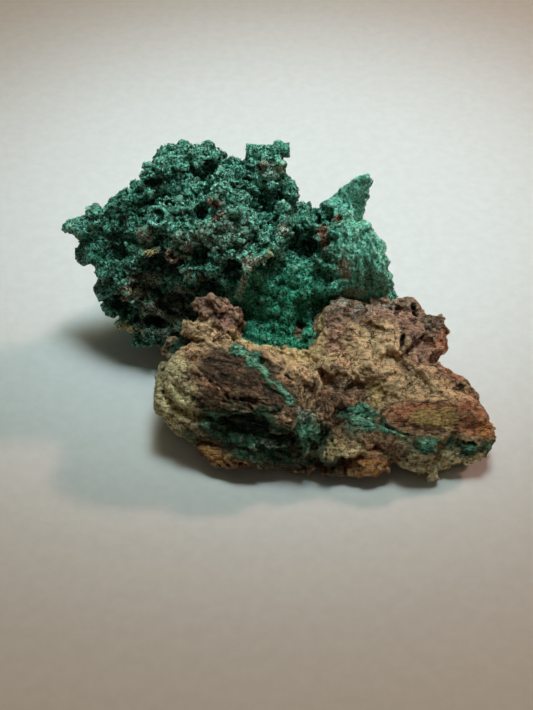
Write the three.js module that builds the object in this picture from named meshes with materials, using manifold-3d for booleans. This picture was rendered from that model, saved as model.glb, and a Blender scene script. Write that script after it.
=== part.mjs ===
// A hand-sized mineral specimen: a broken slab of brown iron-oxide rock with a knobbly growth of green
// malachite standing on its back. Millimetres, +Z up, lying on its base; X runs along its length, and -Y
// is the side where the broken rock shows. Two solids: the matrix rock, and the malachite grown on it.
import * as THREE from "three";
import { ImprovedNoise } from "three/addons/math/ImprovedNoise.js";
import { mergeVertices } from "three/addons/utils/BufferGeometryUtils.js";
import Module from "manifold-3d";

const wasm = await Module();
wasm.setup();

// Driving dimensions.
const CONTACT_GAP = 0.45; // the growth is kept this far out from the rock it sits on
const EDGE = 2.55; // length of a facet edge
const GRAIN = 7; // size of the broad bumps on a lump
const ROUGH = 0.9; // height of those bumps
const BASE_CUT = 60; // half width of the block that trims the base flat
const CENTRE = [-0.6, 1.4, 0]; // the middle of the footprint, as the lumps below are placed

const ROCK = { color: 0x8a6444, roughness: 0.95, metalness: 0 };
const GREEN = { color: 0x1d6a50, roughness: 0.7, metalness: 0 };

// The matrix rock, lump by lump: where each is, its half sizes, and how it is turned (about Z, Y, then X,
// in degrees). square above 2 makes a lump blockier, taper narrows it towards its own +X end, and chips
// is how many flat breaks it has.
const ROCK_LUMPS = [
  { name: "west knob", at: [-11, -2.7, 10.9], half: [6.3, 5.3, 6.4], turn: [20, 10, 0], square: 2.6, chips: 8 },
  { name: "crest", at: [-0.8, -6, 8.8], half: [12, 4.4, 4.6], turn: [-20, 20, -12], square: 2.8, chips: 7 },
  { name: "south face", at: [-4, -14, 7.4], half: [15.5, 9.4, 7], turn: [-8, 6, 0], square: 3, chips: 10 },
  { name: "west corner", at: [-14.6, -12.2, 7.4], half: [6.8, 7.6, 6.2], turn: [25, 0, 0], square: 2.8, chips: 8 },
  { name: "under slab", at: [4, -14.2, 4.2], half: [18.5, 11.4, 5.8], turn: [-4, 0, -5], square: 3, chips: 8 },
  { name: "east block", at: [15.3, -3.5, 8], half: [10.5, 10.5, 7.6], turn: [-10, 6, 10], square: 3.4, chips: 9 },
  { name: "east knob", at: [24, -3, 9], half: [4, 6.2, 5.2], turn: [10, 0, 0], square: 2.6, chips: 7 },
  { name: "north-east knob", at: [20.6, 1.8, 11.4], half: [3.3, 3, 2.9], square: 2.6, chips: 5 },
  { name: "east prow", at: [23.8, -15.6, 6.6], half: [13.2, 8.4, 5.6], turn: [-24, 6, 0], square: 3, taper: 0.3, chips: 9 },
  { name: "east keel", at: [26.4, -21.2, 3.8], half: [9.4, 5.2, 4.4], turn: [14, 4, 0], square: 3.4, taper: 0.12, chips: 7 },
  { name: "east lens", at: [27, -17.4, 8.4], half: [7, 3.8, 3], turn: [-24, 8, 0], rough: 0.4, chips: 3 },
  { name: "south lip", at: [-1.5, -21.6, 3.4], half: [12, 2.6, 1.5], turn: [-8, 2, 0], square: 2.6, rough: 0.6, chips: 4 },
  { name: "buried root", at: [-1.6, 6.4, 3.8], half: [19, 13.6, 5.6], turn: [-8, 0, 0], square: 2.8, chips: 6 },
];

// The malachite, lump by lump, in the same terms.
const GREEN_LUMPS = [
  { name: "mound", at: [-12, 12.2, 18.5], half: [14, 11, 12.5], turn: [-10, 0, 0], square: 2.3, chips: 6 },
  { name: "crown", at: [-15.8, 18.5, 28.6], half: [8.2, 7, 6.4], turn: [10, 0, 0], chips: 5 },
  { name: "mantle", at: [-7.4, 17, 27.2], half: [6, 5, 5.6], chips: 5 },
  { name: "prow shoulder", at: [-24, 14, 23.4], half: [7, 6, 6], turn: [10, 0, 0], chips: 5 },
  { name: "west prow", at: [-29, 12.5, 20.4], half: [8.4, 5.8, 6.2], turn: [180, -8, 0], square: 2.3, taper: 0.5, chips: 5 },
  { name: "west flank", at: [-24.2, 9.8, 13.6], half: [8, 7, 8], chips: 6 },
  { name: "west foot", at: [-19.4, 5.8, 7.4], half: [8.4, 6.2, 4.8], chips: 6 },
  { name: "back mass", at: [-2, 17.6, 11.5], half: [18, 8, 11.6], turn: [-12, 14, 0], square: 2.2, chips: 8 },
  { name: "back knob", at: [-9, 23.4, 17], half: [6.4, 4.8, 6], rough: 1.2, chips: 3 },
  { name: "back foot", at: [-3.4, 24.6, 6.4], half: [7.4, 4.4, 6.4], turn: [-10, 0, 0], rough: 1.2, chips: 4 },
  { name: "back east knob", at: [7.4, 21.4, 10.6], half: [5.2, 4.4, 5], rough: 1.2, chips: 3 },
  { name: "back west knob", at: [-18.4, 20.2, 10], half: [5.6, 5.2, 5.6], rough: 1.2, chips: 3 },
  { name: "back notch knob", at: [14.6, 13.6, 8], half: [4.4, 4.2, 5.2], rough: 1, chips: 3 },
  { name: "cavity wall", at: [0, 7.4, 12], half: [12, 7, 8], turn: [-10, 0, 0], chips: 4 },
  { name: "cavity floor", at: [0, 1.5, 7.5], half: [8, 6, 5], turn: [-20, 0, 0], chips: 4 },
  { name: "east shoulder", at: [10.3, 8.6, 15.6], half: [7, 7.6, 10], turn: [0, 8, 0], chips: 5 },
  { name: "east skirt", at: [14.2, 6.8, 10.8], half: [5, 5.6, 7.4], chips: 4 },
  { name: "ridge", at: [-1.4, 16, 25.5], half: [5, 4.4, 6], turn: [0, 20, 0], chips: 5 },
  { name: "saddle", at: [4.2, 14.6, 19.6], half: [5.4, 4.5, 4.6], chips: 4 },
  { name: "ridge cup", at: [-1.8, 17, 30.8], half: [3.2, 2.8, 3.2], rough: 0.4 },
  { name: "ridge roll", at: [-2.1, 18.2, 34], half: [3.9, 1.4, 1.4], turn: [0, 2, 0], square: 4, rough: 0.2 },
  { name: "horn root", at: [9.6, 13.6, 23.4], half: [5.2, 3.2, 4], turn: [0, -30, 0], rough: 0.5 },
  { name: "horn", at: [11.9, 14, 27.2], half: [5.8, 2.4, 4.4], turn: [0, -56, 0], taper: 0.5, rough: 0.4 },
  { name: "crown west knob", at: [-20.6, 15.6, 31], half: [3.2, 3, 3], rough: 0.4 },
  { name: "crown top knob", at: [-15.4, 18, 32.8], half: [3.2, 2.8, 2.6], rough: 0.4 },
  { name: "brow knob", at: [-10.8, 13.2, 29.8], half: [3.4, 3, 3.3], rough: 0.4 },
  { name: "cup knob", at: [-20, 7.8, 27.3], half: [2, 2, 2], rough: 0.3 },
  { name: "middle knob", at: [-16.3, 7.6, 28.3], half: [2.1, 2, 2], rough: 0.3 },
  { name: "west face knob", at: [-21.8, 6.6, 24.5], half: [2.6, 2.2, 2], rough: 0.3 },
  { name: "face knob", at: [-16, 4.8, 25.2], half: [2.7, 2.4, 2.8], rough: 0.4 },
  { name: "face ledge", at: [-21.2, 4.8, 22.2], half: [2.9, 2, 1], rough: 0.3 },
  { name: "lower face knob", at: [-15.6, 2.2, 20], half: [1.9, 1.7, 2.4], rough: 0.3 },
  { name: "column head", at: [0.4, 11.2, 25.6], half: [2.4, 2.2, 2.4], rough: 0.3 },
  { name: "column", at: [0, 8.4, 22.8], half: [1.9, 1.9, 2.8], rough: 0.3 },
  { name: "column foot", at: [-1.4, 5.2, 21.8], half: [2, 1.8, 2], rough: 0.3 },
  { name: "saddle knob", at: [4.1, 11.2, 22.4], half: [2.4, 2.3, 2.2], rough: 0.3 },
  { name: "rusty knob", at: [6.9, 8.6, 22.6], half: [1.9, 1.7, 2.7], rough: 0.3 },
  { name: "stick", at: [-6.9, 0.9, 17.8], half: [0.9, 0.9, 3.8], turn: [0, 12, 0], square: 3, rough: 0.2 },
  { name: "arch", at: [-4.2, 1.5, 21.6], half: [2.7, 1, 0.9], turn: [10, -14, 0], square: 3, rough: 0.2 },
  { name: "flank knob", at: [-25, 3.6, 13.6], half: [2.6, 2.2, 2.3], rough: 0.3 },
  { name: "foot knob", at: [-21.4, 3.2, 11.3], half: [2.3, 2.1, 2.1], rough: 0.3 },
  { name: "tan crust", at: [-25.6, 3.6, 7.8], half: [2.8, 2, 1.6], rough: 0.4 },
  { name: "toe knob", at: [-19.4, 2, 6.4], half: [2, 1.8, 2], rough: 0.3 },
  { name: "prow belly", at: [-28.8, 7.4, 17], half: [2.5, 2.3, 2.5], rough: 0.3 },
  { name: "west ear", at: [-30.3, 8, 10.6], half: [1.6, 1.6, 2.1], rough: 0.3 },
  { name: "silky lobe", at: [14.6, 6.8, 20.4], half: [3.2, 4, 4.6], rough: 0.3 },
  { name: "lower silky lobe", at: [16.2, 4.8, 15], half: [2.5, 3, 3.7], rough: 0.3 },
  { name: "shoulder knob", at: [10.4, 5.8, 22], half: [3, 2.6, 2.8], rough: 0.3 },
];

const noise = new ImprovedNoise();

/** Noise of three octaves, about -1 to 1, at a point, with bumps of the given size. */
function ripple(point, size) {
  let sum = 0;
  for (const [octave, share] of [[1, 0.6], [2.1, 0.28], [4.3, 0.12]]) {
    const scale = octave / size;
    sum += share * noise.noise(point.x * scale + 11.3, point.y * scale + 5.7, point.z * scale + 2.9);
  }
  return 1.6 * sum;
}

/** A repeatable run of numbers from 0 to 1 for one seed. */
function dice(seed) {
  let state = seed * 7919 + 17;
  return () => {
    state = (state * 16807) % 2147483647;
    return state / 2147483647;
  };
}

/** Directions and depths of the flat breaks on one lump. */
function breaks(count, seed) {
  const roll = dice(seed);
  return Array.from({ length: count }, () => {
    const up = 2 * roll() - 1;
    const round = 2 * Math.PI * roll();
    const flat = Math.sqrt(1 - up * up);
    return {
      out: new THREE.Vector3(flat * Math.cos(round), flat * Math.sin(round), up),
      depth: 0.72 + 0.2 * roll(),
    };
  });
}

/** How finely a ball of these half sizes is divided, for facets of about the usual edge. */
function facets(half) {
  const mean = Math.cbrt(half[0] * half[1] * half[2]);
  return Math.max(1, Math.round(1.05 * mean / EDGE) - 1);
}

/** One lump of stone as a closed solid, grown outwards by the given amount. */
function lump(spec, seed, grow = 0) {
  const { at, half, turn = [0, 0, 0], square = 2, taper = 0, chips = 0, rough = ROUGH } = spec;
  const shape = new THREE.IcosahedronGeometry(1, facets(half));
  const [yaw, pitch, roll] = turn.map(THREE.MathUtils.degToRad);
  const place = new THREE.Matrix4().makeRotationFromEuler(new THREE.Euler(roll, pitch, yaw, "ZYX"));
  place.setPosition(...at);
  const centre = new THREE.Vector3(...at);
  const chipped = breaks(chips, seed);
  const position = shape.attributes.position;
  const point = new THREE.Vector3();
  for (let i = 0; i < position.count; i++) {
    point.fromBufferAttribute(position, i).normalize();
    const { x, y, z } = point;
    point.multiplyScalar((Math.abs(x) ** square + Math.abs(y) ** square + Math.abs(z) ** square) ** (-1 / square));
    for (const { out, depth } of chipped) {
      const past = point.dot(out) - depth;
      if (past > 0) point.addScaledVector(out, -past);
    }
    const narrow = 1 - taper * (point.x + 1) / 2;
    point.set(point.x * half[0], point.y * half[1] * narrow, point.z * half[2] * narrow).applyMatrix4(place);
    const out = point.clone().sub(centre).normalize();
    point.addScaledVector(out, grow + rough * ripple(point, GRAIN));
    position.setXYZ(i, point.x, point.y, point.z);
  }
  return solid(shape);
}

/** A closed geometry as a solid that can be joined and cut. */
function solid(geometry) {
  geometry.deleteAttribute("normal");
  geometry.deleteAttribute("uv");
  const merged = mergeVertices(geometry, 1e-4);
  return new wasm.Manifold(new wasm.Mesh({
    numProp: 3,
    vertProperties: merged.attributes.position.array,
    triVerts: new Uint32Array(merged.index.array),
  }));
}

/** All of a list of lumps joined into one solid. */
function joined(lumps, grow = 0) {
  return lumps.map((spec, i) => lump(spec, i + 1, grow)).reduce((whole, piece) => whole.add(piece));
}

/** The block under the resting plane, which trims the base flat. */
function ground() {
  const block = new THREE.BoxGeometry(2 * BASE_CUT, 2 * BASE_CUT, BASE_CUT);
  block.translate(0, 0, -BASE_CUT / 2);
  return solid(block);
}

/** The largest of a solid's separate bodies, which leaves out crumbs that a cut set free. */
function largest(whole) {
  return whole.decompose().reduce((a, b) => (a.volume() > b.volume() ? a : b));
}

/** A solid as a named mesh. */
function mesh(name, whole, look) {
  const { vertProperties, triVerts, numProp } = whole.getMesh();
  const geometry = new THREE.BufferGeometry();
  const corners = new Float32Array(vertProperties.length / numProp * 3);
  for (let i = 0; i < corners.length / 3; i++) {
    for (let axis = 0; axis < 3; axis++) corners[3 * i + axis] = vertProperties[numProp * i + axis] - CENTRE[axis];
  }
  geometry.setAttribute("position", new THREE.BufferAttribute(corners, 3));
  geometry.setIndex(new THREE.BufferAttribute(new Uint32Array(triVerts), 1));
  geometry.computeVertexNormals();
  const made = new THREE.Mesh(geometry, new THREE.MeshStandardMaterial(look));
  made.name = name;
  return made;
}

const floor = ground();
const rock = largest(joined(ROCK_LUMPS).subtract(floor));
const green = largest(joined(GREEN_LUMPS).subtract(joined(ROCK_LUMPS, CONTACT_GAP)).subtract(floor));

const specimen = new THREE.Group();
specimen.add(mesh("matrix_rock", rock, ROCK));
specimen.add(mesh("malachite_growth", green, GREEN));

export default specimen;
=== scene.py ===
"""A hand-sized malachite specimen: knobbly green malachite standing on a broken slab of brown rock.

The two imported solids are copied, built up with knobs, tubes and cups, remeshed finely and carved with
noise, cracks and ledges. Lengths are millimetres until a piece is finished, and metres in its mesh.
"""

import itertools
import logging
import math
from dataclasses import dataclass, field
from enum import Enum

import bmesh
import bpy
import numpy as np
from bpy.types import Material, Mesh, Node, NodeSocket, Object
from mathutils import Euler, Matrix, Vector


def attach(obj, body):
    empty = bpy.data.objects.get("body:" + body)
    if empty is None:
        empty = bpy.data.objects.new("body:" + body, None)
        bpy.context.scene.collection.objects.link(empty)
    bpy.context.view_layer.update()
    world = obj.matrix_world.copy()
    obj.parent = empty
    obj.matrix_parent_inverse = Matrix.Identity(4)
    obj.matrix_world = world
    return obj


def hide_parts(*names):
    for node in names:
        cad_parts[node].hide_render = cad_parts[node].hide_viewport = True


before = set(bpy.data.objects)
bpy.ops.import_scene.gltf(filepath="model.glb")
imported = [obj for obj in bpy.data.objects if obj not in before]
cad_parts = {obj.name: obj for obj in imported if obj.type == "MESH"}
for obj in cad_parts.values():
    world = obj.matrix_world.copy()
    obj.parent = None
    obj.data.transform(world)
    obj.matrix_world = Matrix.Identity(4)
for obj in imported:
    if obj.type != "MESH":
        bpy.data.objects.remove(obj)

LOG = logging.getLogger("specimen")
MM = 0.001
Array = np.ndarray
Triple = tuple[float, float, float]


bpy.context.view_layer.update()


class Body(Enum):
    """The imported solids, by node name."""

    ROCK = "matrix_rock"
    GREEN = "malachite_growth"


class Slot(Enum):
    """The record's material slots."""

    ROCK = "iron_oxide_rock"
    GREEN = "malachite"


# ---------------------------------------------------------------- noise in space


class Grain:
    """Repeatable noise in space, worked out for whole arrays of points at once."""

    def __init__(self, seed: int) -> None:
        """Rolls the tables.

        Args:
            seed: picks one grain out of many.
        """
        roll = np.random.default_rng(seed)
        self.order = roll.permutation(256)
        slopes = roll.normal(size=(256, 3))
        self.slopes = slopes / np.linalg.norm(slopes, axis=1)[:, None]
        self.spots = roll.random((256, 3))

    def index(self, cell: Array) -> Array:
        """The table row of each lattice cell.

        Args:
            cell: whole-number cell coordinates, one row a point.

        Returns:
            One row number a point.
        """
        order = self.order
        first = order[cell[:, 0] & 255]
        second = order[(first + cell[:, 1]) & 255]
        return order[(second + cell[:, 2]) & 255]

    def smooth(self, points: Array, size: float) -> Array:
        """Soft lumps of one size.

        Args:
            points: places in millimetres.
            size: width of a lump.

        Returns:
            About -1 to 1 a point.
        """
        grid = points / size
        cell = np.floor(grid).astype(np.int64)
        part = grid - cell
        ease = part * part * part * (part * (part * 6 - 15) + 10)
        total = np.zeros(len(points))
        for corner in itertools.product((0, 1), repeat=3):
            step = np.array(corner)
            slope = self.slopes[self.index(cell + step)]
            weight = np.prod(np.where(step == 1, ease, 1 - ease), axis=1)
            total += weight * np.einsum("ij,ij->i", slope, part - step)
        return 1.6 * total

    def fractal(self, points: Array, size: float, octaves: int = 4, fade: float = 0.5) -> Array:
        """Lumps on lumps.

        Args:
            points: places in millimetres.
            size: width of the largest lump.
            octaves: how many sizes.
            fade: each size's height next to the one before.

        Returns:
            About -1 to 1 a point.
        """
        total = np.zeros(len(points))
        height = 1.0
        for octave in range(octaves):
            total += height * self.smooth(points + 13.7 * octave, size / 2.03**octave)
            height *= fade
        return total

    def ridges(self, points: Array, size: float, octaves: int = 3) -> Array:
        """Sharp crests between soft hollows.

        Args:
            points: places in millimetres.
            size: distance between the largest crests.
            octaves: how many sizes.

        Returns:
            0 in the hollows to about 1 on the crests.
        """
        total = np.zeros(len(points))
        height, whole = 1.0, 0.0
        for octave in range(octaves):
            total += height * (1 - np.abs(self.smooth(points + 7.1 * octave, size / 2.1**octave)) * 1.6)
            whole += height
            height *= 0.5
        return np.clip(total / whole, 0, 1)

    def cells(self, points: Array, size: float) -> tuple[Array, Array, Array]:
        """The pebbles of a packed bed.

        Args:
            points: places in millimetres.
            size: width of a pebble.

        Returns:
            Distance to the nearest middle and to the next nearest, in pebble widths, and a random
            number from 0 to 1 for the nearest pebble.
        """
        grid = points / size
        cell = np.floor(grid).astype(np.int64)
        near = np.full(len(points), 9.0)
        then = np.full(len(points), 9.0)
        mark = np.zeros(len(points))
        for corner in itertools.product((-1, 0, 1), repeat=3):
            other = cell + np.array(corner)
            row = self.index(other)
            away = np.linalg.norm(other + self.spots[row] - grid, axis=1)
            closer = away < near
            then = np.where(closer, near, np.minimum(then, away))
            near = np.where(closer, away, near)
            mark = np.where(closer, row / 255, mark)
        return near, then, mark

    def plates(self, points: Array, size: float) -> tuple[Array, Array]:
        """Flat breaks, each tilted its own way, as broken stone has.

        Args:
            points: places in millimetres.
            size: width of a break.

        Returns:
            Height in millimetres for a tilt of 45 degrees, and how close the edge of the break is, from 0
            at the edge to about 1.
        """
        grid = points / size
        cell = np.floor(grid).astype(np.int64)
        near = np.full(len(points), 9.0)
        then = np.full(len(points), 9.0)
        tilt = np.zeros(len(points))
        for corner in itertools.product((-1, 0, 1), repeat=3):
            other = cell + np.array(corner)
            row = self.index(other)
            gap = grid - other - self.spots[row]
            away = np.linalg.norm(gap, axis=1)
            closer = away < near
            then = np.where(closer, near, np.minimum(then, away))
            near = np.where(closer, away, near)
            lean = np.einsum("ij,ij->i", gap, self.slopes[row]) + self.spots[row, 0] - 0.5
            tilt = np.where(closer, lean, tilt)
        return tilt * size, then - near

    def swirl(self, points: Array, size: float) -> Array:
        """A push in a random direction that changes slowly from place to place.

        Args:
            points: places in millimetres.
            size: how slowly.

        Returns:
            One vector a point.
        """
        return np.stack([self.smooth(points + shift, size) for shift in (0.0, 31.7, 67.3)], axis=1)


def step(values: Array, low: float, high: float) -> Array:
    """A soft step from 0 at low to 1 at high; low may be the higher number."""
    part = np.clip((values - low) / (high - low), 0, 1)
    return part * part * (3 - 2 * part)


@dataclass(frozen=True)
class Patch:
    """An egg-shaped region that takes in the surface inside it.

    Attributes:
        at: its middle.
        reach: its half sizes, or one radius.
        strength: how fully it covers.
    """

    at: Triple
    reach: Triple | float
    strength: float = 1.0

    def cover(self, points: Array, ragged: Array | float = 0.0, soft: float = 0.5) -> Array:
        """How far each point is inside.

        Args:
            points: places in millimetres.
            ragged: noise that roughens the edge.
            soft: width of the edge, as a share of the reach.

        Returns:
            0 outside to the patch's strength inside.
        """
        away = np.linalg.norm((points - np.array(self.at)) / np.array(self.reach), axis=1)
        return self.strength * step(away + ragged, 1 + soft / 2, 1 - soft / 2)


def covered(points: Array, patches: list[Patch], ragged: Array | float = 0.0, soft: float = 0.5) -> Array:
    """The strongest of several patches at each point.

    Args:
        points: places in millimetres.
        patches: the patches.
        ragged: noise that roughens their edges.
        soft: width of the edges.

    Returns:
        0 to 1 a point.
    """
    total = np.zeros(len(points))
    for patch in patches:
        total = np.maximum(total, patch.cover(points, ragged, soft))
    return total


def line_distance(points: Array, path: list[Triple]) -> Array:
    """Distance from each point to a bent line.

    Args:
        points: places in millimetres.
        path: the line's corners.

    Returns:
        Millimetres a point.
    """
    best = np.full(len(points), 1e9)
    for start, end in itertools.pairwise(path):
        a, b = np.array(start), np.array(end)
        along = np.clip((points - a) @ (b - a) / np.dot(b - a, b - a), 0, 1)
        best = np.minimum(best, np.linalg.norm(points - a - along[:, None] * (b - a), axis=1))
    return best


# ---------------------------------------------------------------- a mesh that is being carved


def turned(direction: Vector, roll: float = 0.0) -> Matrix:
    """A turn that brings +Z to a direction.

    Args:
        direction: where +Z goes.
        roll: turn about it first, in radians.

    Returns:
        A 4 by 4 turn.
    """
    return direction.to_track_quat("Z", "Y").to_matrix().to_4x4() @ Matrix.Rotation(roll, 4, "Z")


class Carving:
    """A mesh in millimetres that is built up, remeshed, moved about and then finished."""

    def __init__(self, mesh: Mesh) -> None:
        """Takes a mesh over.

        Args:
            mesh: the mesh, in millimetres.
        """
        self.mesh = mesh
        self.refresh()

    def refresh(self) -> None:
        """Reads the points, normals and edges again."""
        count = len(self.mesh.vertices)
        self.points = np.empty(count * 3)
        self.mesh.vertices.foreach_get("co", self.points)
        self.points = self.points.reshape(-1, 3)
        self.edges = np.empty(len(self.mesh.edges) * 2, dtype=np.int64)
        self.mesh.edges.foreach_get("vertices", self.edges)
        self.edges = self.edges.reshape(-1, 2)
        self.read_normals()

    def read_normals(self) -> None:
        """Reads the normals again."""
        self.normals = np.empty(len(self.points) * 3)
        self.mesh.vertex_normals.foreach_get("vector", self.normals)
        self.normals = self.normals.reshape(-1, 3)

    def move_to(self, points: Array) -> None:
        """Puts the vertices somewhere else.

        Args:
            points: their new places.
        """
        self.points = points
        self.mesh.vertices.foreach_set("co", points.ravel())
        self.mesh.update()
        self.read_normals()

    def push(self, height: Array) -> None:
        """Moves the surface out along its normals.

        Args:
            height: millimetres a vertex.
        """
        self.move_to(self.points + self.normals * height[:, None])

    def averaged(self, values: Array, rounds: int) -> Array:
        """Values spread along the surface.

        Args:
            values: one row or number a vertex.
            rounds: how many times each takes its neighbours' mean.

        Returns:
            The spread values.
        """
        first, last = self.edges[:, 0], self.edges[:, 1]
        count = len(self.points)
        ties = np.bincount(first, minlength=count) + np.bincount(last, minlength=count)
        flat = values.reshape(count, -1).copy()
        for _ in range(rounds):
            for column in range(flat.shape[1]):
                line = flat[:, column]
                total = np.bincount(first, line[last], count) + np.bincount(last, line[first], count)
                flat[:, column] = (line + total) / (ties + 1)
        return flat.reshape(values.shape)

    def relief(self, rounds: int) -> Array:
        """How far each vertex stands out from its surroundings.

        Args:
            rounds: how wide the surroundings are.

        Returns:
            Millimetres a vertex, negative in a hollow.
        """
        around = self.averaged(self.points, rounds)
        return np.einsum("ij,ij->i", self.points - around, self.normals)

    def soften(self, rounds: int) -> None:
        """Smooths the whole surface.

        Args:
            rounds: how many times.
        """
        self.move_to(self.averaged(self.points, rounds))

    def remesh(self, voxel: float) -> None:
        """Fuses all shells into one and meshes it evenly.

        Args:
            voxel: the new mesh's spacing.
        """
        holder = bpy.data.objects.new("holder", self.mesh)
        bpy.context.collection.objects.link(holder)
        grid = holder.modifiers.new("voxels", "REMESH")
        grid.mode = "VOXEL"
        grid.voxel_size = voxel
        view = bpy.context.evaluated_depsgraph_get()
        fused = bpy.data.meshes.new_from_object(holder.evaluated_get(view))
        bpy.data.objects.remove(holder)
        bpy.data.meshes.remove(self.mesh)
        self.mesh = fused
        self.refresh()

    def paint(self, name: str, values: Array) -> None:
        """Stores one number a vertex for the finish to read.

        Args:
            name: the attribute's name.
            values: one number a vertex.
        """
        layer = self.mesh.attributes.get(name) or self.mesh.attributes.new(name, "FLOAT", "POINT")
        layer.data.foreach_set("value", values.astype(np.float32))

    def as_work(self) -> bmesh.types.BMesh:
        """Hands the mesh over as a bmesh, to be added to."""
        work = bmesh.new()
        work.from_mesh(self.mesh)
        bpy.data.meshes.remove(self.mesh)
        return work


def packed_copy(body: Body) -> bmesh.types.BMesh:
    """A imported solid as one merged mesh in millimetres.

    Args:
        body: which solid.

    Returns:
        A new bmesh, to be freed by the caller.
    """
    work = bmesh.new()
    work.from_mesh(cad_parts[body.value].data)
    bmesh.ops.remove_doubles(work, verts=work.verts, dist=1e-6)
    bmesh.ops.scale(work, vec=Vector((1, 1, 1)) / MM, verts=work.verts)
    return work


def as_carving(work: bmesh.types.BMesh, name: str) -> Carving:
    """Turns a bmesh into a carving and frees it.

    Args:
        work: the bmesh.
        name: name of the mesh.

    Returns:
        The carving.
    """
    mesh = bpy.data.meshes.new(name)
    work.to_mesh(mesh)
    work.free()
    return Carving(mesh)


def finished(mesh: Mesh, name: str, look: Material, stands_for: Body | None) -> Object:
    """Puts a mesh into the scene as a finished piece.

    Args:
        mesh: the mesh, in millimetres.
        name: the piece's name.
        look: its material.
        stands_for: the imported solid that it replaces, if any.

    Returns:
        The piece.
    """
    mesh.transform(Matrix.Scale(MM, 4))
    mesh.name = name
    mesh.polygons.foreach_set("use_smooth", np.ones(len(mesh.polygons), dtype=bool))
    mesh.materials.clear()
    mesh.materials.append(look)
    piece = bpy.data.objects.new(name, mesh)
    bpy.context.collection.objects.link(piece)
    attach(piece, "root")
    if stands_for:
        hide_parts(stands_for.value)
    LOG.info("%s: %d faces", name, len(mesh.polygons))
    return piece


def split(mesh: Mesh, count: int) -> list[Mesh]:
    """Parts a closed mesh along its length into pieces of equal detail, and closes each.

    Args:
        mesh: the whole mesh, in millimetres, which becomes the last piece.
        count: how many pieces.

    Returns:
        The pieces, from west to east.
    """
    along = np.empty(len(mesh.vertices) * 3)
    mesh.vertices.foreach_get("co", along)
    places = np.quantile(along[::3], np.arange(1, count) / count)
    rest = bmesh.new()
    rest.from_mesh(mesh)
    parts = []
    for place in places:
        for west in (True, False):
            work = rest.copy() if west else rest
            cut = bmesh.ops.bisect_plane(
                work, geom=[*work.verts, *work.edges, *work.faces], dist=1e-4, plane_co=(place, 0, 0),
                plane_no=(1, 0, 0), clear_inner=not west, clear_outer=west)
            rim = [item for item in cut["geom_cut"] if isinstance(item, bmesh.types.BMEdge)]
            cap = bmesh.ops.holes_fill(work, edges=rim)
            bmesh.ops.triangulate(work, faces=cap["faces"])
            for edge in rim:
                edge.smooth = False
            if west:
                part = bpy.data.meshes.new("part")
                work.to_mesh(part)
                work.free()
                parts.append(part)
    rest.to_mesh(mesh)
    rest.free()
    return [*parts, mesh]


# ---------------------------------------------------------------- finishes


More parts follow.
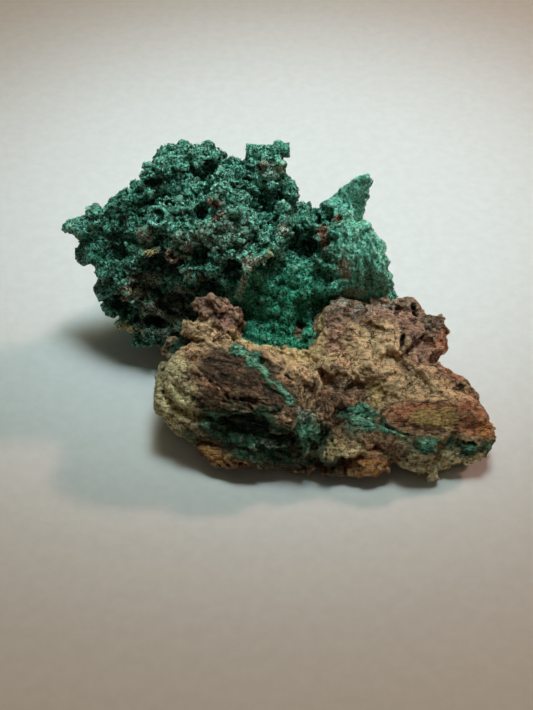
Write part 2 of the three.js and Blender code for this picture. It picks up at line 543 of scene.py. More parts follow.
class Bench:
    """Builds one material's nodes."""

    def __init__(self, name: str) -> None:
        """Starts an empty material.

        Args:
            name: the material's name.
        """
        self.look = bpy.data.materials.new(name)
        self.look.use_nodes = True
        self.tree = self.look.node_tree
        self.tree.nodes.clear()
        self.out = self.tree.nodes.new("ShaderNodeOutputMaterial")
        place = self.tree.nodes.new("ShaderNodeTexCoord").outputs["Object"]
        self.place = self.vector("SCALE", place, scale=1 / MM)

    def node(self, kind: str, inputs: dict, **settings: object) -> Node:
        """Adds a node.

        Args:
            kind: the node's type.
            inputs: sockets or values by input name or number.
            settings: the node's own properties.

        Returns:
            The node.
        """
        made = self.tree.nodes.new(kind)
        for key, value in settings.items():
            setattr(made, key, value)
        for key, value in inputs.items():
            if isinstance(value, NodeSocket):
                self.tree.links.new(value, made.inputs[key])
            else:
                made.inputs[key].default_value = value
        return made

    def vector(self, what: str, first: NodeSocket, second: object = None, scale: float = 1.0) -> NodeSocket:
        """Vector arithmetic.

        Args:
            what: the operation.
            first: the first vector.
            second: the second vector, if it takes one.
            scale: the factor, for SCALE.

        Returns:
            The resulting vector.
        """
        inputs = {0: first, 3: scale}
        if second is not None:
            inputs[1] = second
        return self.node("ShaderNodeVectorMath", inputs, operation=what).outputs[0]

    def math(self, what: str, first: object, second: object = 0.0, clamp: bool = False) -> NodeSocket:
        """Arithmetic on numbers.

        Args:
            what: the operation.
            first: the first number or socket.
            second: the second.
            clamp: whether to keep the result from 0 to 1.

        Returns:
            The result.
        """
        return self.node("ShaderNodeMath", {0: first, 1: second}, operation=what, use_clamp=clamp).outputs[0]

    def ramp(self, value: NodeSocket, low: float, high: float, start: float = 0.0, end: float = 1.0) -> NodeSocket:
        """A soft step.

        Args:
            value: what is stepped.
            low: where it starts.
            high: where it ends.
            start: the result below low.
            end: the result above high.

        Returns:
            The stepped value.
        """
        inputs = {"Value": value, "From Min": low, "From Max": high, "To Min": start, "To Max": end}
        return self.node("ShaderNodeMapRange", inputs, interpolation_type="SMOOTHSTEP").outputs[0]

    def stored(self, name: str) -> NodeSocket:
        """A number stored on the mesh.

        Args:
            name: the attribute's name.

        Returns:
            Its value.
        """
        return self.node("ShaderNodeAttribute", {}, attribute_name=name).outputs["Fac"]

    def noise(self, size: float, detail: float = 4.0, rough: float = 0.55, warp: float = 0.0,
              place: NodeSocket | None = None) -> NodeSocket:
        """Cloudy noise.

        Args:
            size: width of a cloud in millimetres.
            detail: how many finer sizes.
            rough: how strong they are.
            warp: how much it is swirled.
            place: where it is read, if not at the plain place.

        Returns:
            0 to 1.
        """
        inputs = {"Vector": place or self.place, "Scale": 1 / size, "Detail": detail, "Roughness": rough,
                  "Distortion": warp}
        return self.node("ShaderNodeTexNoise", inputs).outputs[0]

    def cells(self, size: float, feature: str = "F1", place: NodeSocket | None = None) -> NodeSocket:
        """Pebbles.

        Args:
            size: width of a pebble in millimetres.
            feature: which distance is given.
            place: where it is read, if not at the plain place.

        Returns:
            The distance, in pebble widths.
        """
        inputs = {"Vector": place or self.place, "Scale": 1 / size}
        made = self.node("ShaderNodeTexVoronoi", inputs, feature=feature)
        return made.outputs["Distance"]

    def facets(self, size: float, warp: float = 0.3) -> tuple[NodeSocket, NodeSocket]:
        """Small grains, each with a tone of its own and a flat face tilted its own way.

        Args:
            size: width of a grain in millimetres.
            warp: how much the grains' edges are bent.

        Returns:
            The tone, 0 to 1, and the height of the tilted face.
        """
        bent = self.node("ShaderNodeTexNoise", {"Vector": self.place, "Scale": 1 / size, "Detail": 2}).outputs["Color"]
        place = self.vector("ADD", self.place, self.vector("SCALE", bent, scale=warp))
        made = self.node("ShaderNodeTexVoronoi", {"Vector": place, "Scale": 1 / size}, feature="F1")
        tone = self.node("ShaderNodeSeparateColor", {0: made.outputs["Color"]}).outputs[0]
        tilt = self.vector("SUBTRACT", made.outputs["Color"], (0.5, 0.5, 0.5))
        away = self.vector("SUBTRACT", place, made.outputs["Position"])
        rise = self.node("ShaderNodeVectorMath", {0: away, 1: tilt}, operation="DOT_PRODUCT").outputs["Value"]
        return tone, rise

    def fibres(self, size: float, stretch: float, turn: Triple, detail: float = 3.0) -> NodeSocket:
        """Noise drawn out along one direction, like the grain of wood.

        Args:
            size: width of a fibre in millimetres.
            stretch: its length, in widths.
            turn: the angles that turn its direction onto X.
            detail: how many finer sizes.

        Returns:
            0 to 1.
        """
        inputs = {"Vector": self.place, "Rotation": turn, "Scale": (1 / stretch, 1, 1)}
        place = self.node("ShaderNodeMapping", inputs, vector_type="POINT").outputs[0]
        return self.noise(size, detail, 0.65, 0.6, place)

    def mix(self, share: object, under: object, over: object, blend: str = "MIX") -> NodeSocket:
        """Lays one colour over another.

        Args:
            share: how much of the second shows.
            under: the first colour.
            over: the second colour.
            blend: the way they mix.

        Returns:
            The mixed colour.
        """
        made = self.node("ShaderNodeMix", {0: share}, data_type="RGBA", blend_type=blend)
        for slot, value in ((6, under), (7, over)):
            if isinstance(value, NodeSocket):
                self.tree.links.new(value, made.inputs[slot])
            else:
                made.inputs[slot].default_value = (*value, 1)
        return made.outputs[2]

    def bump(self, height: NodeSocket, deep: float, strength: float = 1.0, over: NodeSocket | None = None) -> NodeSocket:
        """Fine relief.

        Args:
            height: 0 to 1.
            deep: what 1 stands for, in millimetres.
            strength: how much of it shows.
            over: relief that this one is laid on.

        Returns:
            The normal.
        """
        inputs = {"Height": height, "Distance": deep * MM, "Strength": strength}
        if over:
            inputs["Normal"] = over
        return self.node("ShaderNodeBump", inputs).outputs[0]

    def surface(self, color: object, rough: object, normal: NodeSocket | None = None, **sockets: float) -> Material:
        """Closes the material with its shader.

        Args:
            color: the base colour.
            rough: the roughness.
            normal: the fine relief, if any.
            sockets: other inputs, with underscores for spaces.

        Returns:
            The material.
        """
        inputs = {"Base Color": color, "Roughness": rough}
        if normal:
            inputs["Normal"] = normal
        for key, value in sockets.items():
            inputs[key.replace("_", " ")] = value
        shader = self.node("ShaderNodeBsdfPrincipled", inputs)
        self.tree.links.new(shader.outputs[0], self.out.inputs["Surface"])
        return self.look


Color = Triple


@dataclass(frozen=True)
class MalachiteFinish:
    """Dark to bluish-green malachite with rusty spots, with painted highlights on the crests and rims that stand out,
    painted glints, painted shine, a painted sheen on the silky part and painted shade in the hollows.
    """

    # black also colours the painted shade in the hollows.
    black: Color = (0.0015, 0.006, 0.0035)
    deep: Color = (0.003, 0.032, 0.018)
    green: Color = (0.018, 0.36, 0.2)
    lush: Color = (0.004, 0.26, 0.125)
    grey: Color = (0.14, 0.38, 0.25)
    teal: Color = (0.05, 0.36, 0.24)
    # pale also colours the painted highlights; glint_pale colours the painted glints, painted_shine the painted shine
    # and sheen the painted sheen.
    pale: Color = (0.3, 0.92, 0.68)
    glint_pale: Color = (0.5, 0.97, 0.76)
    painted_shine: Color = (0.36, 0.95, 0.74)
    emerald: Color = (0.04, 0.92, 0.48)
    silk: Color = (0.26, 0.9, 0.58)
    sheen: Color = (0.6, 0.95, 0.78)
    rust: Color = (0.42, 0.15, 0.09)
    ash: Color = (0.5, 0.34, 0.25)
    tan: Color = (0.95, 0.7, 0.3)

    def material(self) -> Material:
        """The finish as a material."""
        b = Bench("malachite")
        cloud = b.noise(1.5, 5, 0.65, 0.3)
        fine = b.noise(0.38, 4, 0.7, 0.5)
        speck = b.noise(0.33, 2, 0.7)
        color = b.mix(b.ramp(cloud, 0.43, 0.57), self.deep, self.green)
        color = b.mix(b.ramp(b.noise(4.2, 3, 0.5), 0.42, 0.58, 0.0, 0.6), color, self.lush)
        color = b.mix(b.math("MULTIPLY", b.ramp(fine, 0.46, 0.66), b.stored("ash"), True), color, self.grey)
        color = b.mix(b.math("MULTIPLY", b.stored("teal"), b.ramp(cloud, 0.3, 0.6, 0.35, 1.0)), color, self.teal)
        color = b.mix(b.math("MULTIPLY", b.stored("emerald"), b.ramp(fine, 0.3, 0.66, 0.25, 1.0)), color, self.emerald)
        color = b.mix(b.math("MULTIPLY", b.stored("silk"), b.ramp(cloud, 0.25, 0.6, 0.4, 1.0)), color, self.silk)
        # Painted sheen: pale along the streaks of the silky part.
        sheen = b.math("MULTIPLY", b.stored("silk"), b.ramp(b.stored("streak"), 0.42, 0.78))
        color = b.mix(b.math("MULTIPLY", sheen, b.ramp(fine, 0.35, 0.6)), color, self.sheen)
        # Painted highlight: pale on the raised crests and on what stands out from its surroundings.
        crest = b.math("MULTIPLY", b.ramp(b.stored("crest"), 0.45, 0.9), b.ramp(speck, 0.36, 0.58))
        color = b.mix(b.math("MULTIPLY", crest, b.stored("painted_highlight"), True), color, self.pale)
        rim = b.ramp(b.math("ADD", b.stored("relief"), b.math("SUBTRACT", fine, 0.5)), 0.3, 0.8)
        color = b.mix(b.math("MULTIPLY", rim, b.stored("painted_highlight"), True), color, self.pale)
        # Painted glints: pale specks on the highest crests.
        spark = b.math("MULTIPLY", b.ramp(b.stored("crest"), 0.75, 0.95), b.ramp(speck, 0.55, 0.66))
        color = b.mix(b.math("MULTIPLY", spark, b.stored("curl"), True), color, self.glint_pale)
        # Painted shine: pale glassy spots on chosen knobs and on the horn.
        painted_shine = b.math("MULTIPLY", b.stored("painted_shine"), b.ramp(fine, 0.3, 0.5, 0.6, 1.0))
        color = b.mix(painted_shine, color, self.painted_shine)
        tone, rise = b.facets(0.4)
        color = b.mix(b.math("MULTIPLY", b.ramp(tone, 0.68, 0.9), b.stored("painted_highlight"), True), color, self.pale)
        color = b.mix(b.math("MULTIPLY", b.ramp(tone, 0.45, 0.1), 0.7), color, self.deep)
        for name, over, low, high in (
            ("rust", self.rust, 0.3, 0.46), ("crust", self.ash, 0.36, 0.5), ("tan", self.tan, 0.3, 0.44)
        ):
            color = b.mix(b.math("MULTIPLY", b.stored(name), b.ramp(fine, low, high)), color, over)
        # Painted glints: scattered bright specks, stronger where the painted highlights are strong.
        glint = b.math("MULTIPLY", b.ramp(speck, 0.57, 0.62), b.ramp(b.stored("painted_highlight"), 0.2, 1.0, 0.45, 1.0))
        color = b.mix(glint, color, b.mix(0.8, color, self.glint_pale))
        patchy = b.math("MULTIPLY", b.ramp(b.noise(1.9, 3, 0.6), 0.38, 0.56, 0.55, 1.0), b.ramp(b.stored("silk"), 0.0, 1.0, 1.0, 0.4))
        color = b.mix(b.math("MULTIPLY", b.ramp(speck, 0.5, 0.43), patchy), color, self.black)
        # Painted shade: near black in the hollows, gaps and caverns.
        color = b.mix(b.stored("hollow"), color, self.black)
        normal = b.bump(rise, 1.6, 1.0, b.bump(b.noise(0.26, 3, 0.7), 0.1, 0.8))
        rough = b.ramp(tone, 0.3, 0.9, 0.6, 0.14)
        return b.surface(color, rough, normal, Specular_IOR_Level=0.4)


@dataclass(frozen=True)
class SprigFinish:
    """The malachite of the small curls, needles and threads, each a little different."""

    dark: Color = (0.008, 0.08, 0.046)
    pale: Color = (0.3, 0.64, 0.48)
    name: str = "malachite_sprigs"

    def material(self) -> Material:
        """The finish as a material."""
        b = Bench(self.name)
        blotch = b.math("MULTIPLY", b.math("SUBTRACT", b.noise(0.3, 3, 0.7), 0.5), 0.8)
        color = b.mix(b.math("ADD", b.stored("shade"), blotch, True), self.dark, self.pale)
        normal = b.bump(b.noise(0.2, 2, 0.6), 0.05, 0.6)
        return b.surface(color, 0.42, normal, Specular_IOR_Level=0.5)


@dataclass(frozen=True)
class RockFinish:
    """Brown iron-oxide rock: ochre, tan, khaki, purple-brown and black, with green stains, darker patches at the front,
    painted highlights on what stands out and painted shade in its hollows, recess and cracks.
    """

    # black also colours the painted shade in the hollows, the recess and the cracks.
    black: Color = (0.006, 0.0045, 0.003)
    dark: Color = (0.045, 0.026, 0.014)
    brown: Color = (0.36, 0.175, 0.09)
    light: Color = (0.8, 0.5, 0.27)
    purple: Color = (0.48, 0.25, 0.18)
    slate: Color = (0.075, 0.06, 0.052)
    tan: Color = (0.97, 0.62, 0.33)
    cream: Color = (1.0, 0.67, 0.37)
    ochre: Color = (1.0, 0.69, 0.3)
    khaki: Color = (1.0, 0.86, 0.46)
    olive: Color = (0.42, 0.3, 0.08)
    moss: Color = (0.16, 0.18, 0.1)
    red: Color = (0.62, 0.2, 0.085)
    orange: Color = (0.95, 0.38, 0.08)
    green: Color = (0.004, 0.095, 0.048)
    mint: Color = (0.24, 0.74, 0.5)
    frost: Color = (0.55, 0.8, 0.68)

    def material(self) -> Material:
        """The finish as a material."""
        b = Bench("iron_oxide_rock")
        cloud = b.noise(3.0, 6, 0.65, 0.4)
        grain = b.noise(0.8, 5, 0.72, 0.4)
        fine = b.noise(0.32, 4, 0.75)
        color = b.mix(b.ramp(cloud, 0.38, 0.62), self.dark, self.brown)
        color = b.mix(b.math("MULTIPLY", b.ramp(grain, 0.5, 0.68), 0.75), color, self.light)
        for name, over, low, high in (
            ("purple", self.purple, 0.3, 0.5),
            ("red", self.red, 0.32, 0.56),
            ("khaki", self.khaki, 0.3, 0.52),
            ("moss", self.moss, 0.36, 0.56),
            ("olive", self.olive, 0.34, 0.55),
            ("tan", self.tan, 0.32, 0.5),
            ("cream", self.cream, 0.42, 0.6),
            ("ochre", self.ochre, 0.34, 0.54),
            ("orange", self.orange, 0.34, 0.56),
            ("front_darkening", self.dark, 0.34, 0.48),
            ("slate", self.slate, 0.3, 0.5),
            ("green", self.green, 0.3, 0.44),
            ("mint", self.mint, 0.38, 0.52),
            ("frost", self.frost, 0.42, 0.56),
        ):
            color = b.mix(b.math("MULTIPLY", b.stored(name), b.ramp(grain, low, high)), color, over)
        clean = b.math("ADD", b.stored("ochre"), b.math("MULTIPLY", b.stored("cream"), 0.7))
        tone, rise = b.facets(0.5)
        color = b.mix(b.math("MULTIPLY", b.ramp(tone, 0.7, 0.98), 0.3), color, b.mix(0.5, color, self.cream))
        color = b.mix(b.math("MULTIPLY", b.ramp(tone, 0.4, 0.02), b.ramp(clean, 0.0, 1.0, 0.4, 0.1)), color, self.dark)
        light = b.math("MULTIPLY", b.ramp(fine, 0.57, 0.7, 0.0, 0.4), b.ramp(b.math("ADD", b.stored("green"), b.stored("front_darkening")), 0.1, 0.9, 1.0, 0.2))
        color = b.mix(light, color, b.mix(0.55, color, self.cream))
        color = b.mix(b.math("MULTIPLY", b.ramp(fine, 0.44, 0.32), b.ramp(clean, 0.0, 1.0, 0.5, 0.15)), color, self.dark)
        fibre = b.fibres(0.42, 4.5, (0.0, 0.15, math.radians(36)))
        mossy = b.ramp(b.math("ADD", b.stored("green"), b.stored("front_darkening")), 0.1, 0.9, 1.0, 0.15)
        color = b.mix(b.math("MULTIPLY", b.ramp(fibre, 0.54, 0.66, 0.0, 0.5), mossy), color, b.mix(0.7, color, self.cream))
        dusty = b.math("MULTIPLY", b.ramp(fibre, 0.49, 0.4), b.ramp(clean, 0.0, 1.0, 0.85, 0.3))
        dusty = b.math("MULTIPLY", dusty, b.ramp(cloud, 0.4, 0.6, 1.0, 0.45))
        color = b.mix(dusty, color, self.black)
        bent = self.bent(b)
        crack = b.math("MULTIPLY", b.ramp(b.cells(2.1, "DISTANCE_TO_EDGE", bent), 0.045, 0.01), b.ramp(cloud, 0.42, 0.56))
        color = b.mix(b.math("MULTIPLY", crack, 0.85), color, self.black)
        # Painted highlight: lighter on what stands out, screened over the colour.
        rim = b.math("MULTIPLY", b.ramp(b.stored("relief"), 0.2, 0.8, 0.0, 0.3), mossy)
        color = b.mix(rim, color, self.light, "SCREEN")
        # Painted shade in the hollows, the front recess and the cracks.
        color = b.mix(b.stored("hollow"), color, self.black)
        relief = b.math("SUBTRACT", b.math("ADD", b.noise(0.4, 5, 0.78), fibre), crack)
        normal = b.bump(rise, 0.7, 1.0, b.bump(relief, 0.2, 1.0))
        rough = b.ramp(b.noise(1.1, 3), 0.3, 0.7, 0.62, 0.92)
        return b.surface(color, rough, normal, Specular_IOR_Level=0.35)


    def bent(self, b: Bench) -> NodeSocket:
        """The place, bent so that cracks run unevenly.

        Args:
            b: the material being made.

        Returns:
            The bent place.
        """
        bend = b.node("ShaderNodeTexNoise", {"Vector": b.place, "Scale": 0.7, "Detail": 4}).outputs["Color"]
        return b.vector("ADD", b.place, b.vector("SCALE", bend, scale=2.6))


@dataclass(frozen=True)
class PaperFinish:
    """Matt off-white paper under the specimen."""

    white: Color = (0.8, 0.8, 0.79)
    shade: Color = (0.765, 0.76, 0.75)

    def material(self) -> Material:
        """The finish as a material."""
        b = Bench("paper")
        color = b.mix(b.ramp(b.noise(2.2, 4, 0.6), 0.3, 0.7), self.shade, self.white)
        normal = b.bump(b.noise(1.4, 3, 0.6), 0.05, 0.4)
        return b.surface(color, 0.85, normal, Specular_IOR_Level=0.2)


# ---------------------------------------------------------------- knobs, turned growths and small sprigs


@dataclass(frozen=True)
class Knob:
    """One rounded growth.

    Attributes:
        at: its middle.
        half: its half sizes.
        lean: the direction its own +Z points.
        finely: how often its ball is divided.
    """

    at: Triple
    half: Triple
    lean: Triple = (0, 0, 1)
    finely: int = 2

    @property
    def width(self) -> float:
        """How wide it is from its middle, about."""
        return 0.85 * sum(self.half) / 3

    def add(self, work: bmesh.types.BMesh) -> None:
        """Adds the knob to a mesh.

        Args:
            work: the mesh.
        """
        place = Matrix.Translation(self.at) @ turned(Vector(self.lean)) @ Matrix.Diagonal((*self.half, 1))
        bmesh.ops.create_icosphere(work, subdivisions=self.finely, radius=1, matrix=place)


@dataclass(frozen=True)
class Turned:
    """A growth that is round about its own axis, such as a cup, a tube or a roll.

    Attributes:
        at: where its axis starts.
        lean: the direction of its axis.
        profile: radius and height of each corner, from one end of the axis to the other.
        flat: how far its section is squeezed, 1 for a round one.
        steps: how many sides it has.
    """

    at: Triple
    lean: Triple
    profile: tuple
    flat: float = 1.0
    steps: int = 18

    @property
    def width(self) -> float:
        """How wide it is from its axis."""
        return max(radius for radius, _ in self.profile)

    def add(self, work: bmesh.types.BMesh) -> None:
        """Adds the growth to a mesh.

        Args:
            work: the mesh.
        """
        own = bmesh.new()
        line = [own.verts.new((radius, 0, height)) for radius, height in self.profile]
        edges = [own.edges.new(pair) for pair in itertools.pairwise(line)]
        bmesh.ops.spin(
            own, geom=[*line, *edges], cent=(0, 0, 0), axis=(0, 0, 1), angle=2 * math.pi, steps=self.steps, use_merge=True
        )
        bmesh.ops.remove_doubles(own, verts=own.verts, dist=1e-4)
        bmesh.ops.recalc_face_normals(own, faces=own.faces)
        bmesh.ops.scale(own, vec=(1, self.flat, 1), verts=own.verts)
        place = Matrix.Translation(self.at) @ turned(Vector(self.lean))
        bmesh.ops.transform(own, matrix=place, verts=own.verts)
        joint = bpy.data.meshes.new("turned")
        own.to_mesh(joint)
        own.free()
        work.from_mesh(joint)
        bpy.data.meshes.remove(joint)


def cup(at: Triple, lean: Triple, radius: float, lip: float, deep: float) -> Turned:
    """An open ring-shaped growth.

    Args:
        at: the middle of its rim.
        lean: the direction that it opens to.
        radius: from its middle to the middle of its lip.
        lip: half the thickness of the lip.
        deep: how far its wall reaches back.

    Returns:
        The cup.
    """
    outer, inner = radius + lip, radius - lip
    profile = ((0, -deep - 0.4), (outer * 0.85, -deep - 0.4), (outer * 0.9, -0.5 * deep), (outer, -0.25), (radius, 0),
               (inner, -0.3), (inner * 0.92, -0.75 * deep), (0, -0.85 * deep))
    return Turned(at, lean, profile)


def pod(at: Triple, lean: Triple, radius: float, length: float, flare: float = 0.2) -> Turned:
    """A short roll with flared, slightly hollow ends.

    Args:
        at: its middle.
        lean: the direction of its axis.
        radius: its radius at the middle.
        length: its length.
        flare: how much wider its ends are.

    Returns:
        The roll.
    """
    half, end = length / 2, radius + flare
    wall = ((0, 0.82), (0.6, 0.86), (0.9, 1.0), (1.0, 0.97), (0.92, 0.8))
    east = [(share * end, up * half) for share, up in wall]
    profile = [(r, -h) for r, h in east] + [(radius, -0.4 * half), (radius * 0.97, 0), (radius, 0.4 * half)]
    return Turned(at, lean, (*profile, *reversed(east)))


def petals(at: Triple, lean: Triple, out: Triple, size: float, count: int) -> list[Knob]:
    """A fan of slim lobes that spread from one spot.

    Args:
        at: the spot.
        lean: the direction of the middle lobe.
        out: the direction that the fan faces.
        size: how long a lobe is.
        count: how many lobes.

    Returns:
        The lobes.
    """
    lobes = []
    for turn in np.linspace(-1.0, 1.0, count):
        way = Matrix.Rotation(turn, 3, Vector(out).normalized()) @ Vector(lean).normalized()
        middle = Vector(at) + 0.5 * size * way
        lobes.append(Knob(tuple(middle), (0.26 * size, 0.26 * size, 0.55 * size), tuple(way)))
    return lobes


class Template(Enum):
    """The small shapes that are set on the growth in great numbers."""

    CURL = "curl"
    NEEDLE = "needle"
    THREAD = "thread"

    def mesh(self) -> Mesh:
        """Models the shape once, about one unit across, standing on +Z."""
        work = bmesh.new()
        if self is Template.CURL:
            bmesh.ops.create_circle(work, segments=8, radius=1, cap_ends=True)
            bmesh.ops.translate(work, verts=work.verts, vec=(0, 0, 0.45))
            middle = bmesh.ops.poke(work, faces=work.faces)["verts"]
            bmesh.ops.translate(work, verts=middle, vec=(0, 0, -0.28))
            whole = [*work.verts, *work.edges, *work.faces]
            bmesh.ops.bisect_plane(work, geom=whole, plane_co=(-0.25, 0, 0), plane_no=(-1, 0, 0.3), clear_outer=True)
            bmesh.ops.solidify(work, geom=work.faces, thickness=0.13)
        elif self is Template.NEEDLE:
            up = Matrix.Translation((0, 0, 0.5))
            bmesh.ops.create_cone(work, cap_ends=True, segments=4, radius1=1, radius2=0.25, depth=1, matrix=up)
        else:
            up = Matrix.Translation((0, 0, 0.5))
            bmesh.ops.create_cone(work, cap_ends=True, segments=4, radius1=1, radius2=0.5, depth=1, matrix=up)
            sides = [edge for edge in work.edges if abs(edge.verts[0].co.z - edge.verts[1].co.z) > 0.5]
            bmesh.ops.subdivide_edges(work, edges=sides, cuts=4)
            for vert in work.verts:
                bow = math.sin(math.pi * vert.co.z)
                vert.co.x += 3.0 * bow
                vert.co.y += 1.2 * math.sin(2 * math.pi * vert.co.z)
        bmesh.ops.recalc_face_normals(work, faces=work.faces)
        made = bpy.data.meshes.new(self.value)
        work.to_mesh(made)
        work.free()
        return made


@dataclass
class Sprigs:
    """Copies of one small shape, each with its own place, turn, size and shade.

    Attributes:
        template: the shape.
        places: where each stands.
        leans: the direction each points.
        sizes: three scales for each.
        shades: how pale each is.
        seed: picks the turns about their own axes.
    """

    template: Template
    places: Array
    leans: Array
    sizes: Array
    shades: Array
    seed: int = 1

    def turns(self) -> Array:
        """The Euler angles that lean each copy its way, rolled at random."""
        roll = np.random.default_rng(self.seed).uniform(0, 2 * math.pi, len(self.places))
        return np.array([turned(Vector(lean), angle).to_euler() for lean, angle in zip(self.leans, roll)])

    def group(self, model: Object) -> bpy.types.NodeTree:
        """Makes the nodes that set the copies and turn them into mesh.

        Args:
            model: the object that is copied.

        Returns:
            The node group.
        """
        tree = bpy.data.node_groups.new("sprigs", "GeometryNodeTree")
        for way in ("INPUT", "OUTPUT"):
            tree.interface.new_socket("Geometry", in_out=way, socket_type="NodeSocketGeometry")
        source, sink = tree.nodes.new("NodeGroupInput"), tree.nodes.new("NodeGroupOutput")
        shape = tree.nodes.new("GeometryNodeObjectInfo")
        shape.inputs["Object"].default_value = model
        copies = tree.nodes.new("GeometryNodeInstanceOnPoints")
        real = tree.nodes.new("GeometryNodeRealizeInstances")
        tree.links.new(source.outputs[0], copies.inputs["Points"])
        tree.links.new(shape.outputs["Geometry"], copies.inputs["Instance"])
        for name, socket in (("turn", "Rotation"), ("size", "Scale")):
            stored = tree.nodes.new("GeometryNodeInputNamedAttribute")
            stored.data_type = "FLOAT_VECTOR"
            stored.inputs["Name"].default_value = name
            tree.links.new(stored.outputs["Attribute"], copies.inputs[socket])
        tree.links.new(copies.outputs[0], real.inputs[0])
        tree.links.new(real.outputs[0], sink.inputs[0])
        return tree

    def mesh(self) -> Mesh:
        """Sets all the copies.

        Returns:
            One mesh of them all, in millimetres.
        """
        count = len(self.places)
        spots = bpy.data.meshes.new("spots")
        spots.vertices.add(count)
        spots.vertices.foreach_set("co", self.places.ravel())
        for name, kind, values in (
            ("turn", "FLOAT_VECTOR", self.turns()), ("size", "FLOAT_VECTOR", self.sizes), ("shade", "FLOAT", self.shades)
        ):
            layer = spots.attributes.new(name, kind, "POINT")
            layer.data.foreach_set("value" if kind == "FLOAT" else "vector", values.astype(np.float32).ravel())
        model = bpy.data.objects.new("model", self.template.mesh())
        holder = bpy.data.objects.new("spots", spots)
        for item in (model, holder):
            bpy.context.collection.objects.link(item)
        setter = holder.modifiers.new("sprigs", "NODES")
        setter.node_group = self.group(model)
        view = bpy.context.evaluated_depsgraph_get()
        made = bpy.data.meshes.new_from_object(holder.evaluated_get(view))
        for item in (holder, model):
            bpy.data.objects.remove(item)
        return made


# ---------------------------------------------------------------- the rock


